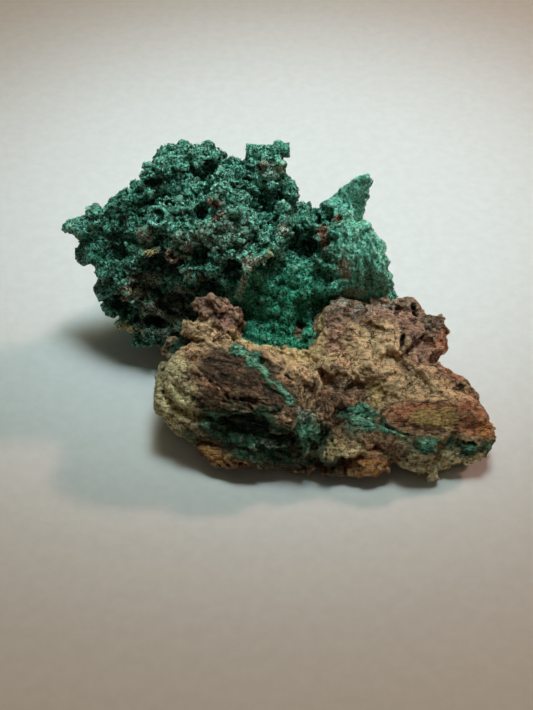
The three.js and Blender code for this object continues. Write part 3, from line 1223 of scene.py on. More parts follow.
@dataclass
class MatrixRock:
    """The broken slab of brown rock.

    Attributes:
        voxel: spacing of the finished mesh.
        grain: the noise it is carved with.
        strike: the direction that its layers run in at the west half.
        cracks: open cracks, each a bent line with its width and depth.
        smooth: where it is worn smooth.
        knobs: lumps that stand on its edges.
    """

    voxel: float = 0.19
    grain: Grain = field(default_factory=lambda: Grain(11))
    strike: Triple = (0.8, -0.58, -0.12)
    cracks: tuple = (
        ([(-9.3, -2.4, 17.4), (-8.7, -4.6, 17.2), (-9.0, -7.0, 16.5), (-10.1, -8.6, 15.8)], 0.3, 1.8),
        ([(11.6, -6.6, 15.2), (15.6, -6.0, 14.6), (18.2, -7.2, 14.2), (20.2, -6.0, 14.2)], 0.26, 1.4),
        ([(19.9, -0.6, 14.6), (19.5, -4.4, 14.4), (20.4, -7.8, 13.9), (20.2, -11.4, 12.9)], 0.3, 1.7),
        ([(19.9, -14.2, 12.1), (20.4, -16.3, 10.9), (17.6, -16.8, 10.9)], 0.22, 1.6),
        ([(9.5, -20.4, 9.0), (12.5, -20.8, 9.0), (17.4, -22.6, 8.3), (22.0, -24.9, 7.4), (27.0, -25.0, 7.0),
          (34.6, -23.6, 5.4)], 0.24, 1.1),
        ([(-11.9, -8.2, 16.6), (-9.9, -10.2, 15.8), (-8.0, -10.8, 15.6)], 0.26, 1.1),
        ([(22.6, -0.6, 14.6), (23.1, -3.6, 13.9), (23.8, -7.6, 13.2), (23.2, -11.6, 12.2)], 0.34, 1.5),
        ([(-9.5, -16.2, 14.4), (-4.4, -18.0, 14.2), (1.0, -20.6, 12.8)], 0.17, 0.6),
        ([(-10.2, -20.4, 13.2), (-4.6, -21.6, 12.8), (0.6, -22.4, 12.2)], 0.2, 0.7),
        ([(-12.4, -13.6, 14.6), (-9.4, -14.6, 14.6), (-6.4, -16.4, 14.4)], 0.15, 0.5),
        ([(7.0, -13.6, 11.2), (7.8, -17.0, 10.4), (9.4, -20.4, 9.0)], 0.3, 1.2),
    )
    smooth: tuple = (Patch((24.8, -21.4, 9.4), (8.6, 4.2, 3)), Patch((30.6, -20.0, 9), (4, 4, 3)))
    knobs: tuple = (
        Knob((21.2, 0.2, 13.2), (2.4, 1.9, 1.7)), Knob((18.0, 0.6, 13.6), (2.0, 1.4, 1.4)),
        Knob((25.4, -4.4, 12.6), (2.7, 2.2, 1.9)), Knob((-7.0, -4.8, 15.2), (2.2, 2.0, 2.0)),
        Knob((-10.6, -3.9, 15.9), (3.6, 3.0, 2.5)), Knob((-12.8, -5.8, 12.8), (2.8, 2.8, 3.2)),
        Knob((-15.2, -7.4, 10.0), (2.8, 2.8, 2.8)), Knob((-8.2, -6.4, 13.6), (3.2, 2.2, 3.0)), Knob((-10.9, -22.8, 4.0), (2.2, 1.5, 0.75), (-0.2, -0.3, 1)),
        Knob((-8.6, -24.0, 3.5), (2.1, 1.5, 0.8), (0, -0.3, 1)), Knob((-5.4, -25.2, 3.6), (2.4, 1.5, 0.8), (0.1, -0.25, 1)),
        Knob((-1.4, -25.8, 3.4), (2.5, 1.4, 0.8), (0.1, -0.2, 1)), Knob((5.6, -25.9, 3.0), (2.2, 1.3, 0.7), (0, -0.2, 1)),
        Knob((14.0, -25.6, 3.2), (4.4, 1.6, 1.2), (0, -0.2, 1)),
    )

    def build(self) -> Carving:
        """Carves the slab.

        Returns:
            The carving, painted for its finish.
        """
        body = as_carving(packed_copy(Body.ROCK), "rock")
        body.remesh(0.6)
        body.soften(1)
        body.push(np.full(len(body.points), -0.3) * step(body.points[:, 2], 0.0, 1.0))
        work = body.as_work()
        for knob in self.knobs:
            knob.add(work)
        body = as_carving(work, "rock")
        body.remesh(0.42)
        self.break_up(body)
        body.remesh(self.voxel)
        self.roughen(body)
        self.paint(body)
        return body

    def calm(self, points: Array) -> Array:
        """Where the rock is worn smooth, 0 to 1 a point."""
        return covered(points, self.smooth)

    def along(self, points: Array) -> Array:
        """Places squeezed along the strike in the west half, so that breaks there come out long.

        Args:
            points: places in millimetres.

        Returns:
            The squeezed places.
        """
        run = np.array(self.strike) / np.linalg.norm(self.strike)
        share = 0.62 * step(points[:, 0], 10, 2)
        return points - (share * (points @ run))[:, None] * run

    def break_up(self, body: Carving) -> None:
        """Turns the smooth lumps into broken blocks and ledges, and hollows out the front.

        Args:
            body: the rock.
        """
        p = body.points
        calm = self.calm(p)
        long = self.along(p + 0.3 * self.grain.swirl(p, 3))
        blocks, edge = self.grain.plates(long, 5.4)
        chips, chip_edge = self.grain.plates(long * (1, 1, 1.2), 2.5)
        height = 0.34 * blocks - 0.35 * step(edge, 0.08, 0.0)
        height += 0.26 * chips - 0.2 * step(chip_edge, 0.1, 0.0) + 0.1 * self.grain.fractal(p, 3, 3)
        height = np.clip(height, -1.6, 1.0) * (1 - 0.85 * calm)
        body.push(height * step(p[:, 2], 0.0, 1.4))
        p = body.points
        ragged = 0.22 * self.grain.fractal(p, 2.4, 3)
        hollow = covered(p, [Patch((-4.2, -24.6, 9.2), (6.6, 3.4, 1.9)), Patch((0.4, -25, 8.6), (3.0, 3, 1.8))], ragged, 0.4)
        notch = covered(p, [Patch((0.4, -4.8, 12.6), (5.8, 3.6, 4.6)), Patch((-4.0, -3.4, 12.6), (3.0, 2.8, 3.4))], ragged, 0.5)
        under = Patch((9.5, -26.6, 3.6), (4.6, 2.4, 1.2)).cover(p, ragged, 0.4)
        back = Patch((-9.4, -9.4, 15.2), (1.0, 1.2, 1.2)).cover(p, ragged, 0.6)
        layers = np.sin((p[:, 2] + 0.22 * p[:, 0] + 0.5 * self.grain.fractal(p, 3, 2)) * 4.6)
        inward = np.stack([0 * hollow, (1.4 + 0.45 * layers) * hollow + 1.4 * under, -0.9 * back - 4.4 * notch], axis=1)
        teal = Patch((5.2, -25.0, 8.4), (2.2, 2.4, 2.8)).cover(p, ragged, 0.6)
        inward[:, 1] -= 0.9 * teal
        body.move_to(p + inward * step(p[:, 2], 0.0, 1.4)[:, None])

    def roughen(self, body: Carving) -> None:
        """Adds cracks, pits and grains.

        Args:
            body: the rock.
        """
        p = body.points
        warped = p + 0.2 * self.grain.swirl(p, 1.2)
        calm = self.calm(p)
        pitted = covered(p, [Patch((-17, -18, 9), (7, 9, 8)), Patch((27, -26, 4), (9, 3, 4)), Patch((8, -25, 6), (5, 2.4, 3))])
        crusty = covered(p, [Patch((5.6, -25, 9), (3, 2.6, 3.4)), Patch((13, -19.6, 9.2), (3, 2.6, 2)),
                             Patch((-14.6, -11.4, 14), (2.4, 2, 2))])
        flakes, edge = self.grain.plates(self.along(warped), 1.6)
        small, small_edge = self.grain.plates(self.along(warped), 0.75)
        height = 0.27 * flakes - 0.2 * step(edge, 0.1, 0.0) + 0.11 * small - 0.06 * step(small_edge, 0.12, 0.0)
        height *= (1 - 0.55 * step(p[:, 0], 4, 9)) * (1 - 0.45 * pitted)
        height = height * (1 - 0.85 * calm) + 0.1 * self.grain.fractal(p, 0.9, 3, 0.7) * (1 - 0.6 * calm)
        near, then, _ = self.grain.cells(warped, 0.75)
        beads = 0.2 * step(near, 0.75, 0.1) - 0.14 * step(then - near, 0.18, 0.0)
        holes = -0.55 * step(self.grain.smooth(warped * (1.6, 1, 1), 1.25), 0.45, 0.85)
        height += beads * np.maximum(0.7 * pitted, crusty) + holes * (0.04 + 0.86 * pitted) * (1 - calm)
        body.push(height * step(p[:, 2], 0.0, 0.8))
        p = body.points
        wander = 0.3 * self.grain.swirl(p, 1.8)
        cut = np.zeros(len(p))
        for path, width, deep in self.cracks:
            away = line_distance(p + wander, path)
            cut = np.maximum(cut, deep * step(away, 1.9 * width, 0.3 * width))
        body.push(-0.8 * cut)
        self.cut = cut

    def regions(self) -> dict[str, list[Patch]]:
        """Where each of the rock's colours shows."""
        return {
            "purple": [Patch((-10.4, -4.6, 16), (4.6, 4.4, 3.4)), Patch((24, -5, 12.6), (6.4, 8, 5)),
                       Patch((14, -2.6, 14.4), (8, 3.0, 3)), Patch((9.4, -8, 12.8), (2.0, 6, 3), 0.85),
                       Patch((12.5, -16.4, 10.4), (3.4, 2.2, 2), 0.7), Patch((-6.4, -14.6, 13.8), (4, 3, 3), 0.5)],
            "red": [Patch((28.4, -8, 10.6), (2.8, 5.4, 5)), Patch((29, -18.9, 10.4), (5.4, 1.8, 2)),
                    Patch((31.4, -22.4, 8.4), (3.4, 2.4, 2.4), 0.8), Patch((15, -26, 4.6), (7, 2, 2.6), 0.9),
                    Patch((-9, -19.5, 12), (3, 2.6, 3), 0.6), Patch((21.6, -21.2, 9.6), (5.4, 2.6, 2.4), 0.75), Patch((14, -17.4, 10), (3, 1.8, 2), 0.8)],
            "khaki": [Patch((-17.4, -17.6, 8.5), (6.2, 8, 8)), Patch((27, -26, 4), (9, 3.4, 4)),
                      Patch((8.6, -25, 6.0), (5, 3, 3), 0.8)],
            "moss": [Patch((-6.6, -10.8, 13.6), (3.8, 2.4, 2.6)), Patch((3, -20, 12), (3.4, 3, 3), 0.5),
                     Patch((22, -26, 5.6), (6, 2, 2.6), 0.7), Patch((26.6, -16.6, 11.2), (2.2, 1.4, 1.4), 0.8)],
            "olive": [Patch((24.6, -21.8, 9.6), (3.4, 1.8, 2.2)), Patch((8, -24.4, 7.4), (4, 2, 2), 0.5)],
            "tan": [Patch((15.4, -10.5, 13), (5.8, 6.8, 3.6)), Patch((18, -15.4, 11), (3.6, 3, 4)),
                    Patch((-2.6, -9.6, 13.4), (8, 3.0, 4), 0.9), Patch((-12.8, -8.4, 14), (3.4, 3.6, 3.6), 0.8),
                    Patch((26.6, -17.2, 11), (7, 2.2, 2)), Patch((22.6, -14.6, 11.6), (3, 2.6, 2), 0.8),
                    Patch((-14.2, -11.6, 13), (2.6, 2.6, 2.6), 0.8), Patch((2.4, -12.2, 12.2), (8.6, 3.6, 3.6))],
            "cream": [Patch((17.6, -10.0, 13.2), (3.6, 5.0, 3), 0.9), Patch((18.4, -15.2, 11.4), (2.4, 2.6, 2), 0.9),
                      Patch((-2.5, -8.6, 14.4), (4.2, 1.8, 2), 0.8), Patch((1.6, -11.2, 12.6), (7.4, 2.8, 3.0), 0.85)],
            "ochre": [Patch((-3.6, -7.8, 14.6), (3.8, 1.2, 2.2)), Patch((0.8, -8.8, 13.0), (3.4, 1.5, 2.2)),
                      Patch((4.6, -9.6, 11.6), (3.2, 1.9, 2.4)), Patch((15.9, -16.7, 9.8), (1.9, 2.7, 2.2)),
                      Patch((7.2, -6, 13), (0.9, 5.6, 3), 0.8)],
            "orange": [Patch((-11.2, -23.2, 4.2), (2.8, 2.2, 1.4)), Patch((-8.0, -24.6, 3.6), (3, 2.2, 1.5)),
                       Patch((-4.6, -25.8, 3.6), (3, 2, 1.3)), Patch((0, -26.6, 3.2), (3, 1.6, 1.2), 0.8),
                       Patch((5.6, -26.8, 2.8), (2.6, 1.6, 1.1), 0.8), Patch((14, -26.8, 3.4), (4.6, 1.6, 1.4), 0.8),
                       Patch((33.6, -22.6, 6.6), (2.8, 2.2, 2), 0.6), Patch((12.8, -17.6, 9.8), (1.6, 1.6, 1.6), 0.7)],
            # Darker patches over the front face and along its underside.
            "front_darkening": [Patch((-5.2, -16.0, 13.6), (7.4, 5.4, 3.4), 0.95), Patch((2, -26, 3.0), (12, 3, 1.6), 0.8),
                     Patch((9, -19.6, 9.6), (3, 3, 3), 0.8), Patch((1.6, -20.8, 12), (3.6, 3, 2), 0.7),
                     Patch((10, -23, 7.6), (5, 2, 2), 0.6), Patch((-9, -21.4, 12), (4, 2.4, 2.4), 0.8)],
            "slate": [Patch((25.6, -4.6, 14.2), (2.4, 1.9, 1.6)), Patch((22.2, -0.4, 14.6), (1.9, 1.5, 1.6), 0.9),
                      Patch((13.4, -3.2, 15), (2, 1.4, 1.4), 0.7), Patch((22.6, -8.2, 13.2), (1.4, 2, 1.2), 0.6)],
            "green": [Patch((-4.0, -24.0, 8.4), (8.8, 4.0, 4.2)), Patch((4.8, -24.8, 8.6), (3.6, 3.0, 3.8)),
                      Patch((20.9, -13.5, 12.3), (1.1, 1.0, 1.1)), Patch((-15.4, -8.4, 12.0), (2.4, 2.2, 2.4)),
                      Patch((-17.8, -13, 10.4), (1.6, 2.6, 2.4), 0.6), Patch((3.5, -27, 4.4), (8, 2.4, 1.8), 0.9),
                      Patch((-2.4, -26.0, 5.8), (7, 1.8, 1.6)), Patch((13.6, -19.6, 9.2), (2.8, 2, 2), 0.8),
                      Patch((-13.4, -22.2, 5.4), (2.4, 2, 2), 0.8)],
            "mint": [Patch((5.0, -25.6, 8.4), (2.3, 1.8, 2.8), 0.8), Patch((13.6, -19.8, 9.2), (2.4, 1.8, 2), 0.9),
                     Patch((-9.8, -22.6, 9.6), (2, 1.6, 1.6), 0.4), Patch((12, -22.4, 8.2), (2.6, 1, 1.4), 0.5)],
            "frost": [Patch((-1.2, -25.2, 6.4), (2.8, 1.4, 0.8), 0.9), Patch((4.4, -22.8, 11.2), (1.8, 1.6, 1), 0.6),
                      Patch((13.6, -20.4, 9), (1.4, 0.8, 1.2), 0.5)],
        }

    def paint(self, body: Carving) -> None:
        """Marks where each of the rock's colours shows.

        Args:
            body: the rock.
        """
        p = body.points
        ragged = 0.3 * self.grain.fractal(p, 2.8, 4, 0.65)
        close = body.relief(12)
        wide = body.relief(70)
        body.paint("relief", np.clip(close / 0.14, -1, 1))
        # Painted shade: the hollows, the front recess and the cracks are marked to be darkened towards black.
        hollow = np.maximum(0.8 * step(-close, 0.1, 0.36), step(-wide, 0.4, 1.2))
        recess = covered(p, [Patch((-4.2, -22.0, 9.6), (6.4, 2.4, 1.5)), Patch((0.4, -22.6, 9), (3, 2, 1.5))], 0.3 * ragged)
        shade = np.max([hollow * (1 - 0.55 * recess), 0.5 * recess, step(self.cut, 0.3, 1.0)], axis=0)
        body.paint("hollow", np.clip(shade, 0, 1) * 0.9)
        masks = {name: covered(p, patches, ragged, 0.6) for name, patches in self.regions().items()}
        wander = p + 0.9 * self.grain.swirl(p, 2.0)
        vein = line_distance(wander, [(-6.6, -10.2, 13.6), (-4.6, -12.4, 13.9), (-2.6, -14.8, 13.5),
                                      (-0.9, -16.6, 13.1), (0.4, -18.6, 12.6), (2.0, -19.6, 12.2)])
        low_vein = line_distance(wander, [(-12.2, -21.6, 10.4), (-8, -22.6, 10.9), (-4, -23.2, 10.6), (0, -23, 10.6)])
        seam = line_distance(wander, [(10.6, -20.6, 9.2), (17.4, -23.0, 8.0), (22, -25.3, 7.0), (27, -25.6, 6.4),
                                      (34.4, -23.8, 5.0)])
        masks["green"] = np.max([masks["green"], step(vein + 2 * ragged, 2.2, 0.9), step(seam + 2 * ragged, 2.0, 0.9)], 0)
        masks["mint"] = np.max([masks["mint"], step(vein + ragged, 1.5, 0.7), 0.9 * step(seam + ragged, 1.1, 0.4),
                                0.3 * step(low_vein + ragged, 0.5, 0.2)], axis=0)
        _, edge = self.grain.plates(p + 0.5 * self.grain.swirl(p, 1.4), 2.4)
        veins = step(edge, 0.09, 0.03) * covered(p, [Patch((12.6, -1.6, 14.6), (7.5, 2.8, 3))], ragged)
        masks["frost"] = np.maximum(masks["frost"], 0.9 * veins)
        for name, mask in masks.items():
            body.paint(name, np.clip(mask, 0, 1))


# ---------------------------------------------------------------- the malachite


@dataclass
class MalachiteGrowth:
    """All of the green growth.

    Attributes:
        voxel: spacing of the finished mesh.
        sunk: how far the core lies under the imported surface, which is where the knobs reach to.
        grain: the noise it is carved with.
        silky: where the surface is silky rather than knobbly.
        horn: the leaf-shaped growth at the east end.
        plain: the crisp growths that stay fairly smooth.
        cave: the velvety hollow over the rock.
        crown: the bluish, brightest parts.
    """

    voxel: float = 0.21
    sunk: float = 1.0
    grain: Grain = field(default_factory=lambda: Grain(23))
    silky: tuple = (Patch((15, 5, 20), (6.0, 6.5, 9), 0.95),)
    horn: Patch = Patch((12.6, 12, 27.8), (5.6, 4, 6))
    cave: tuple = (Patch((0.8, 0, 14), (8.5, 5.5, 7.6)),)
    crown: tuple = (Patch((-17.5, 14, 32.5), (7.5, 6, 5.4)), Patch((-9.6, 10.6, 32), (3.6, 4, 3.2)),
                    Patch((-1.4, 15.0, 33.6), (5.5, 4, 4.0)), Patch((-32, 10.6, 24.4), (5.4, 3, 2.4)))
    plain: tuple = (Patch((-1.5, 16.5, 33.9), (4.8, 2.2, 2.2)), Patch((-1.1, 12.8, 31.1), (2.0, 1.6, 1.7)),
                    Patch((-9.4, 8.6, 30.8), (1.9, 1.6, 1.5)), Patch((-19.4, 4.3, 29.1), (2.5, 2.4, 2.4)),
                    Patch((-5.6, -0.7, 19.2), (1.2, 1.4, 3.6)), Patch((-2.9, 1.3, 22.9), (2.8, 1.6, 1.3)),
                    Patch((0.6, 6.6, 25.4), (2.0, 3.4, 2.6), 0.7), Patch((-30.2, 4.6, 13.0), (1.8, 1.8, 1.8)))

    def features(self) -> list[Knob | Turned]:
        """The larger growths that stand out one by one."""
        return [
            Knob((-9.4, 11.9, 30.0), (3.3, 2.9, 2.9), (0, 0, 1), 3),
            Knob((-18.4, 14.2, 31.6), (2.5, 2.3, 2.1)), Knob((-21.0, 14.2, 30.9), (1.7, 1.7, 1.7)),
            Knob((-20.8, 12.4, 29.6), (1.9, 1.5, 1.8)), Knob((-15.6, 16.0, 33.0), (2.5, 2.0, 1.8)),
            pod((-12.2, 15.0, 33.2), (1, 0.1, -0.2), 1.35, 5.6, 0.05),
            Knob((-14.2, 9.6, 29.6), (1.8, 1.7, 1.6)), Knob((-15.8, 6.2, 28.6), (1.6, 1.4, 1.6)),
            Knob((-19.3, 6.6, 27.6), (2.2, 2.0, 2.2)), Knob((-10.1, 7.6, 29.2), (1.4, 1.2, 1.3)),
            Knob((-21.2, 4.7, 25.2), (1.9, 1.6, 1.8)), Knob((-15.3, 3.2, 26.0), (2.1, 1.8, 2.4)),
            Knob((-21.0, 3.6, 22.7), (2.4, 1.7, 0.8)), Knob((-14.8, 0.5, 20.5), (1.7, 1.3, 1.8)),
            Knob((-6.2, 9.0, 28.8), (1.8, 1.6, 1.5)), Knob((-4.4, 5.0, 25.8), (1.6, 1.5, 1.8)),
            Knob((-8.4, 4.8, 27.0), (1.7, 1.5, 1.7)), Knob((-7.6, 1.9, 23.4), (1.7, 1.4, 1.6)),
            Knob((-11.8, 1.4, 20.6), (1.7, 1.3, 1.5)), Knob((-12.4, 3.6, 25.4), (1.6, 1.4, 1.6)),
            Knob((-24.9, 11.0, 26.6), (1.9, 1.8, 1.7)), Knob((-28.4, 5.4, 17.0), (2.0, 1.8, 2.0)),
            Knob((-24.4, 2.2, 14.1), (1.9, 1.6, 1.6)), Knob((-21.2, 1.9, 12.2), (1.7, 1.5, 1.7)),
            Knob((-25.2, 1.8, 8.4), (2.4, 1.4, 1.4)), Knob((-18.9, 0.6, 7.6), (1.5, 1.4, 1.7)),
            Knob((-16.3, 0.4, 9.4), (1.4, 1.3, 1.5)), Knob((-29.4, 5.6, 12.4), (1.5, 1.5, 1.8)),
            Knob((4.7, 9.4, 23.4), (1.7, 1.5, 1.7)), Knob((7.3, 7.0, 23.8), (1.4, 1.2, 2.1)),
            Knob((-1.4, 15.0, 31.6), (2.5, 2.0, 2.4), (0, 0, 1), 3), Knob((-4.0, 15.4, 31.9), (1.7, 1.5, 1.7)), Knob((10.6, 4.0, 22.6), (2.1, 1.7, 2.0)),
            Knob((1.6, 12.6, 28.0), (1.7, 1.6, 2.0)), Knob((-3.6, 12.6, 29.4), (1.6, 1.4, 1.8)),
            Knob((-32.4, 11.0, 22.0), (2.6, 2.2, 1.9), (-0.4, 0, 1)), Knob((-34.8, 10.9, 22.3), (1.7, 1.5, 1.0), (-0.4, 0, 1)),
            Knob((-30.0, 11.2, 23.6), (2.4, 2.2, 2.0)), Knob((-30.6, 8.4, 18.5), (2.0, 2.4, 1.9)),
            Knob((16.4, 3.4, 19.6), (2.3, 2.2, 3.4), (0.3, 0, -1)), Knob((17.6, 3.2, 16.8), (2.3, 2.0, 2.4), (0.3, 0, -1)),
            Knob((14.4, 6.6, 24.2), (1.7, 1.7, 2.2), (0.3, 0, -1)), Knob((15.6, 5.2, 22.8), (1.7, 1.7, 2.4), (0.3, 0, -1)),
            Knob((13.6, 2.8, 20.6), (1.5, 1.4, 3.2), (0.1, -0.2, -1)), Knob((11.4, 4.6, 22.8), (1.4, 1.4, 2.4), (0.1, -0.3, -1)),
            Knob((9.4, 11.2, 26.2), (1.8, 1.4, 1.3)), Knob((7.6, 11.2, 25.0), (1.6, 1.4, 1.3)),
            Knob((14.1, 12.4, 30.2), (0.8, 0.7, 1.7), (0.4, 0, 1)),
            Knob((-3.6, -2.4, 8.4), (2.8, 2.2, 1.9)), Knob((-0.2, -3.0, 7.8), (2.8, 2.2, 1.9)), Knob((2.8, -3.4, 7.4), (2.6, 2.2, 1.8)),
            Knob((-1.6, -0.6, 8.8), (3.0, 2.4, 2.0)), Knob((-32.6, 10.2, 17.6), (1.8, 1.8, 2.5)),
            Knob((12.0, 6.2, 24.4), (2.3, 2.1, 2.0)), Knob((9.8, 6.2, 24.0), (1.9, 1.8, 1.9)), Knob((7.6, 6.8, 24.2), (1.8, 1.7, 1.8)),
            Knob((9.4, 3.6, 21.4), (1.8, 1.7, 2.2)), Knob((11.0, 8.6, 25.4), (1.8, 1.6, 1.5)),
        ]

    def details(self) -> list[Knob | Turned]:
        """The crisp small growths: cups, petals, the roll, the column, the arch and the stalk."""
        return [
            pod((-1.5, 16.3, 33.7), (1, 0, 0.03), 1.05, 7.4, 0.3),
            cup((-19.4, 4.3, 29.1), (-0.12, -0.74, 0.66), 1.5, 0.36, 2.0),
            cup((-17.0, 1.1, 23.5), (0.15, -0.9, 0.42), 0.95, 0.34, 1.2),
            cup((-30.2, 4.6, 13.0), (-0.75, -0.6, 0.25), 1.15, 0.32, 1.8),
            cup((-11.0, 9.9, 32.7), (-0.1, -0.6, 0.8), 0.55, 0.24, 0.9),
            cup((-6.2, 7.6, 29.9), (0.3, -0.6, 0.75), 0.85, 0.28, 1.2),
            cup((-5.6, 2.4, 26.2), (0.4, -0.8, 0.5), 0.8, 0.26, 1.1),
            cup((-22.6, 10.4, 29.6), (-0.2, -0.8, 0.5), 0.9, 0.28, 1.2),
            Knob((-1.1, 12.8, 31.1), (1.6, 0.9, 1.2), (0, -0.6, 1)),
            Knob((-2.2, 13.4, 32.9), (0.9, 0.7, 0.8)), Knob((0.4, 13.2, 32.8), (0.8, 0.7, 1.0)),
            Knob((1.0, 9.0, 27.2), (1.5, 1.4, 1.3)), Knob((1.2, 7.6, 25.9), (1.3, 1.2, 1.0)),
            Knob((0.8, 6.2, 24.8), (1.35, 1.2, 0.95)), Knob((0.2, 4.9, 24.0), (1.15, 1.1, 0.9)),
            Knob((-0.6, 3.6, 23.3), (1.1, 1.0, 0.9)),
            pod((-2.9, 1.3, 22.9), (0.9, 0.45, 0.25), 0.78, 4.6, 0.05),
            pod((-5.6, -0.7, 19.2), (0.3, 0.06, 0.95), 0.62, 6.2, 0.04),
            Knob((-4.9, -0.2, 22.0), (0.95, 0.9, 0.8)),
            *petals((-9.5, 9.0, 32.3), (0.15, -0.6, -0.8), (0.2, -0.8, 0.6), 1.8, 6),
            *petals((-6.4, 6.6, 29.0), (0.5, -0.5, -0.7), (0.2, -0.85, 0.5), 1.5, 5),
            *petals((-21.0, 9.2, 29.9), (0.6, -0.5, 0.6), (-0.3, -0.8, 0.5), 1.3, 4),
            *petals((-12.6, 12.4, 33.4), (-0.7, -0.3, 0.6), (0, -0.7, 0.7), 1.3, 5),
            *petals((-17.6, 5.2, 27.9), (0.7, -0.4, -0.6), (0.2, -0.85, 0.5), 1.2, 4),
            *petals((-0.9, 11.8, 30.5), (0.1, -0.3, -0.95), (0, -0.9, 0.3), 1.4, 5),
        ]

    def caverns(self) -> list[Patch]:
        """The deep gaps between the growths, dug in and given painted shade."""
        return [
            Patch((-20.6, 10.4, 30.4), (1.9, 1.6, 1.0)), Patch((-12.4, 12.9, 32.2), (2.4, 1.8, 1.0)),
            Patch((-19.4, 1.8, 20.2), (5.0, 2.8, 2.0)), Patch((-12.6, 1.2, 23.2), (1.6, 1.8, 1.4)),
            Patch((-11.0, 0.0, 17.0), (2.2, 2, 1.6)), Patch((-26.6, 2.9, 11.4), (1.8, 1.8, 1.8)),
            Patch((-27.2, 5.4, 20.2), (2.6, 2, 1.3)), Patch((-24.2, 5.8, 26.4), (1.2, 1.4, 1.6)),
            Patch((-16.6, 0.4, 13.8), (3, 1.8, 1.4)),
            Patch((-17.6, 8.4, 27.2), (1.4, 1.4, 1.2)), Patch((-12.6, 6.2, 28.4), (1.2, 1.4, 1.2)),
            Patch((-7.0, 0.4, 20.6), (1.6, 1.6, 2.0)), Patch((-2.6, 3.4, 20.8), (2.4, 2.4, 1.4)),
            Patch((3.4, 6.2, 21.4), (1.3, 1.7, 1.8)), Patch((-20.6, 0.8, 9.6), (2.2, 1.4, 1.1)),
        ]

    def build(self) -> Carving:
        """Grows and carves the malachite.

        Returns:
            The carving, painted for its finish.
        """
        roll = np.random.default_rng(5)
        core = as_carving(packed_copy(Body.GREEN), "core")
        core.remesh(0.6)
        core.soften(2)
        skin, out = core.points.copy(), core.normals.copy()
        calm = np.maximum(self.calm(skin), self.horn.cover(skin))
        core.push(-self.sunk * (1 - 0.8 * calm) * step(skin[:, 2], 0.0, 1.0))
        work = core.as_work()
        self.scatter(work, skin, out, roll, 150, (1.2, 2.7), (-0.3, 0.7), self.features())
        for feature in self.features():
            feature.add(work)
        body = as_carving(work, "green")
        body.remesh(0.45)
        self.swell(body)
        skin, out = body.points.copy(), body.normals.copy()
        work = body.as_work()
        self.scatter(work, skin, out, roll, 190, (0.4, 1.15), (0.0, 0.4), self.details())
        for detail in self.details():
            detail.add(work)
        body = as_carving(work, "green")
        body.remesh(self.voxel)
        self.roughen(body)
        self.paint(body)
        return body

    def calm(self, points: Array) -> Array:
        """Where the surface is silky rather than knobbly, 0 to 1 a point."""
        return covered(points, self.silky)

    def scatter(self, work: bmesh.types.BMesh, skin: Array, out: Array, roll: np.random.Generator, count: int,
                radii: tuple[float, float], top: tuple[float, float], clear: list[Knob | Turned]) -> None:
        """Packs knobs over a surface, none of them much inside another.

        Args:
            work: the mesh that gets them.
            skin: points of the surface.
            out: its normals there.
            roll: the random numbers.
            count: how many at the most.
            radii: the smallest and largest radius.
            top: the lowest and highest that a knob's top stands over the surface.
            clear: growths that the knobs keep away from.
        """
        calm = np.maximum(self.calm(skin), self.horn.cover(skin) * (1 if radii[1] > 1 else 0.75))
        inner = covered(skin, self.cave)
        taken = np.array([growth.at for growth in clear])
        widths = np.array([growth.width for growth in clear])
        count += len(clear)
        for spot in roll.permutation(len(skin))[: 30 * count]:
            if len(taken) >= count:
                break
            size = roll.uniform(*radii) * (1 - 0.4 * inner[spot])
            if skin[spot, 2] < 1.8 or roll.random() < calm[spot]:
                continue
            if len(taken) and np.any(np.linalg.norm(taken - skin[spot], axis=1) < 0.78 * (widths + size)):
                continue
            taken, widths = np.vstack([taken, skin[spot]]), np.append(widths, size)
            lean = Vector(out[spot] + roll.normal(0, 0.25, 3)).normalized()
            half = size * roll.uniform(0.8, 1.2, 3)
            deep = half[2] - roll.uniform(*top)
            at = skin[spot] - out[spot] * deep
            Knob(tuple(at), tuple(half), tuple(lean), 2 if size > 0.7 else 1).add(work)

    def swell(self, body: Carving) -> None:
        """Makes the knobs uneven and digs the gaps and hollows between them.

        Args:
            body: the malachite.
        """
        p = body.points
        silky = self.calm(p)
        near, then, _ = self.grain.cells(p + 0.7 * self.grain.swirl(p, 2.2), 3.2)
        bubbles = 0.5 * step(near, 0.8, 0.1) - 1.0 * step(then - near, 0.2, 0.0)
        near, then, _ = self.grain.cells(p + 0.5 * self.grain.swirl(p, 1.6), 1.7)
        bubbles += 0.08 * step(near, 0.8, 0.1) - 0.2 * step(then - near, 0.2, 0.0)
        lumps = 0.3 * self.grain.fractal(p, 3.2, 3)
        pits = covered(p, self.caverns(), 0.3 * lumps, 0.6)
        prow = covered(p, [Patch((-34, 10.8, 22), (3.6, 3, 2.6), 0.75), Patch((-30.6, 7.4, 19.2), (2.6, 4.6, 2.6), 0.6)])
        calm = np.max([silky, 0.7 * self.horn.cover(p), prow], axis=0)
        folds = self.grain.fractal(self.fan(p) * (1, 0.3, 1), 2.4, 3, 0.6)
        height = (bubbles + lumps) * (1 - calm) + 0.8 * folds * silky - 3.3 * pits * (1 - prow)
        height = height - 2.6 * Patch((-28.2, 14.5, 27.0), (2.3, 2.3, 2.0)).cover(p, 0.0, 0.6)
        body.push(height * step(p[:, 2], 0.0, 1.4))

    def fan(self, points: Array) -> Array:
        """Places read along and across the silky fibres, which run down from one spot.

        Args:
            points: places in millimetres.

        Returns:
            Across, along and depth, in millimetres.
        """
        down = points - np.array((10.5, 8.0, 33.0))
        across = np.arctan2(down[:, 0] + 0.4 * down[:, 1], -down[:, 2]) * 16
        horn = step(points[:, 2], 24.5, 26.5) * step(points[:, 0], 8, 10)
        tilted = points[:, 0] * 0.83 - points[:, 2] * 0.56
        across = np.where(horn > 0.5, tilted, across)
        return np.stack([across, np.linalg.norm(down, axis=1), points[:, 1] * 0.4], axis=1)

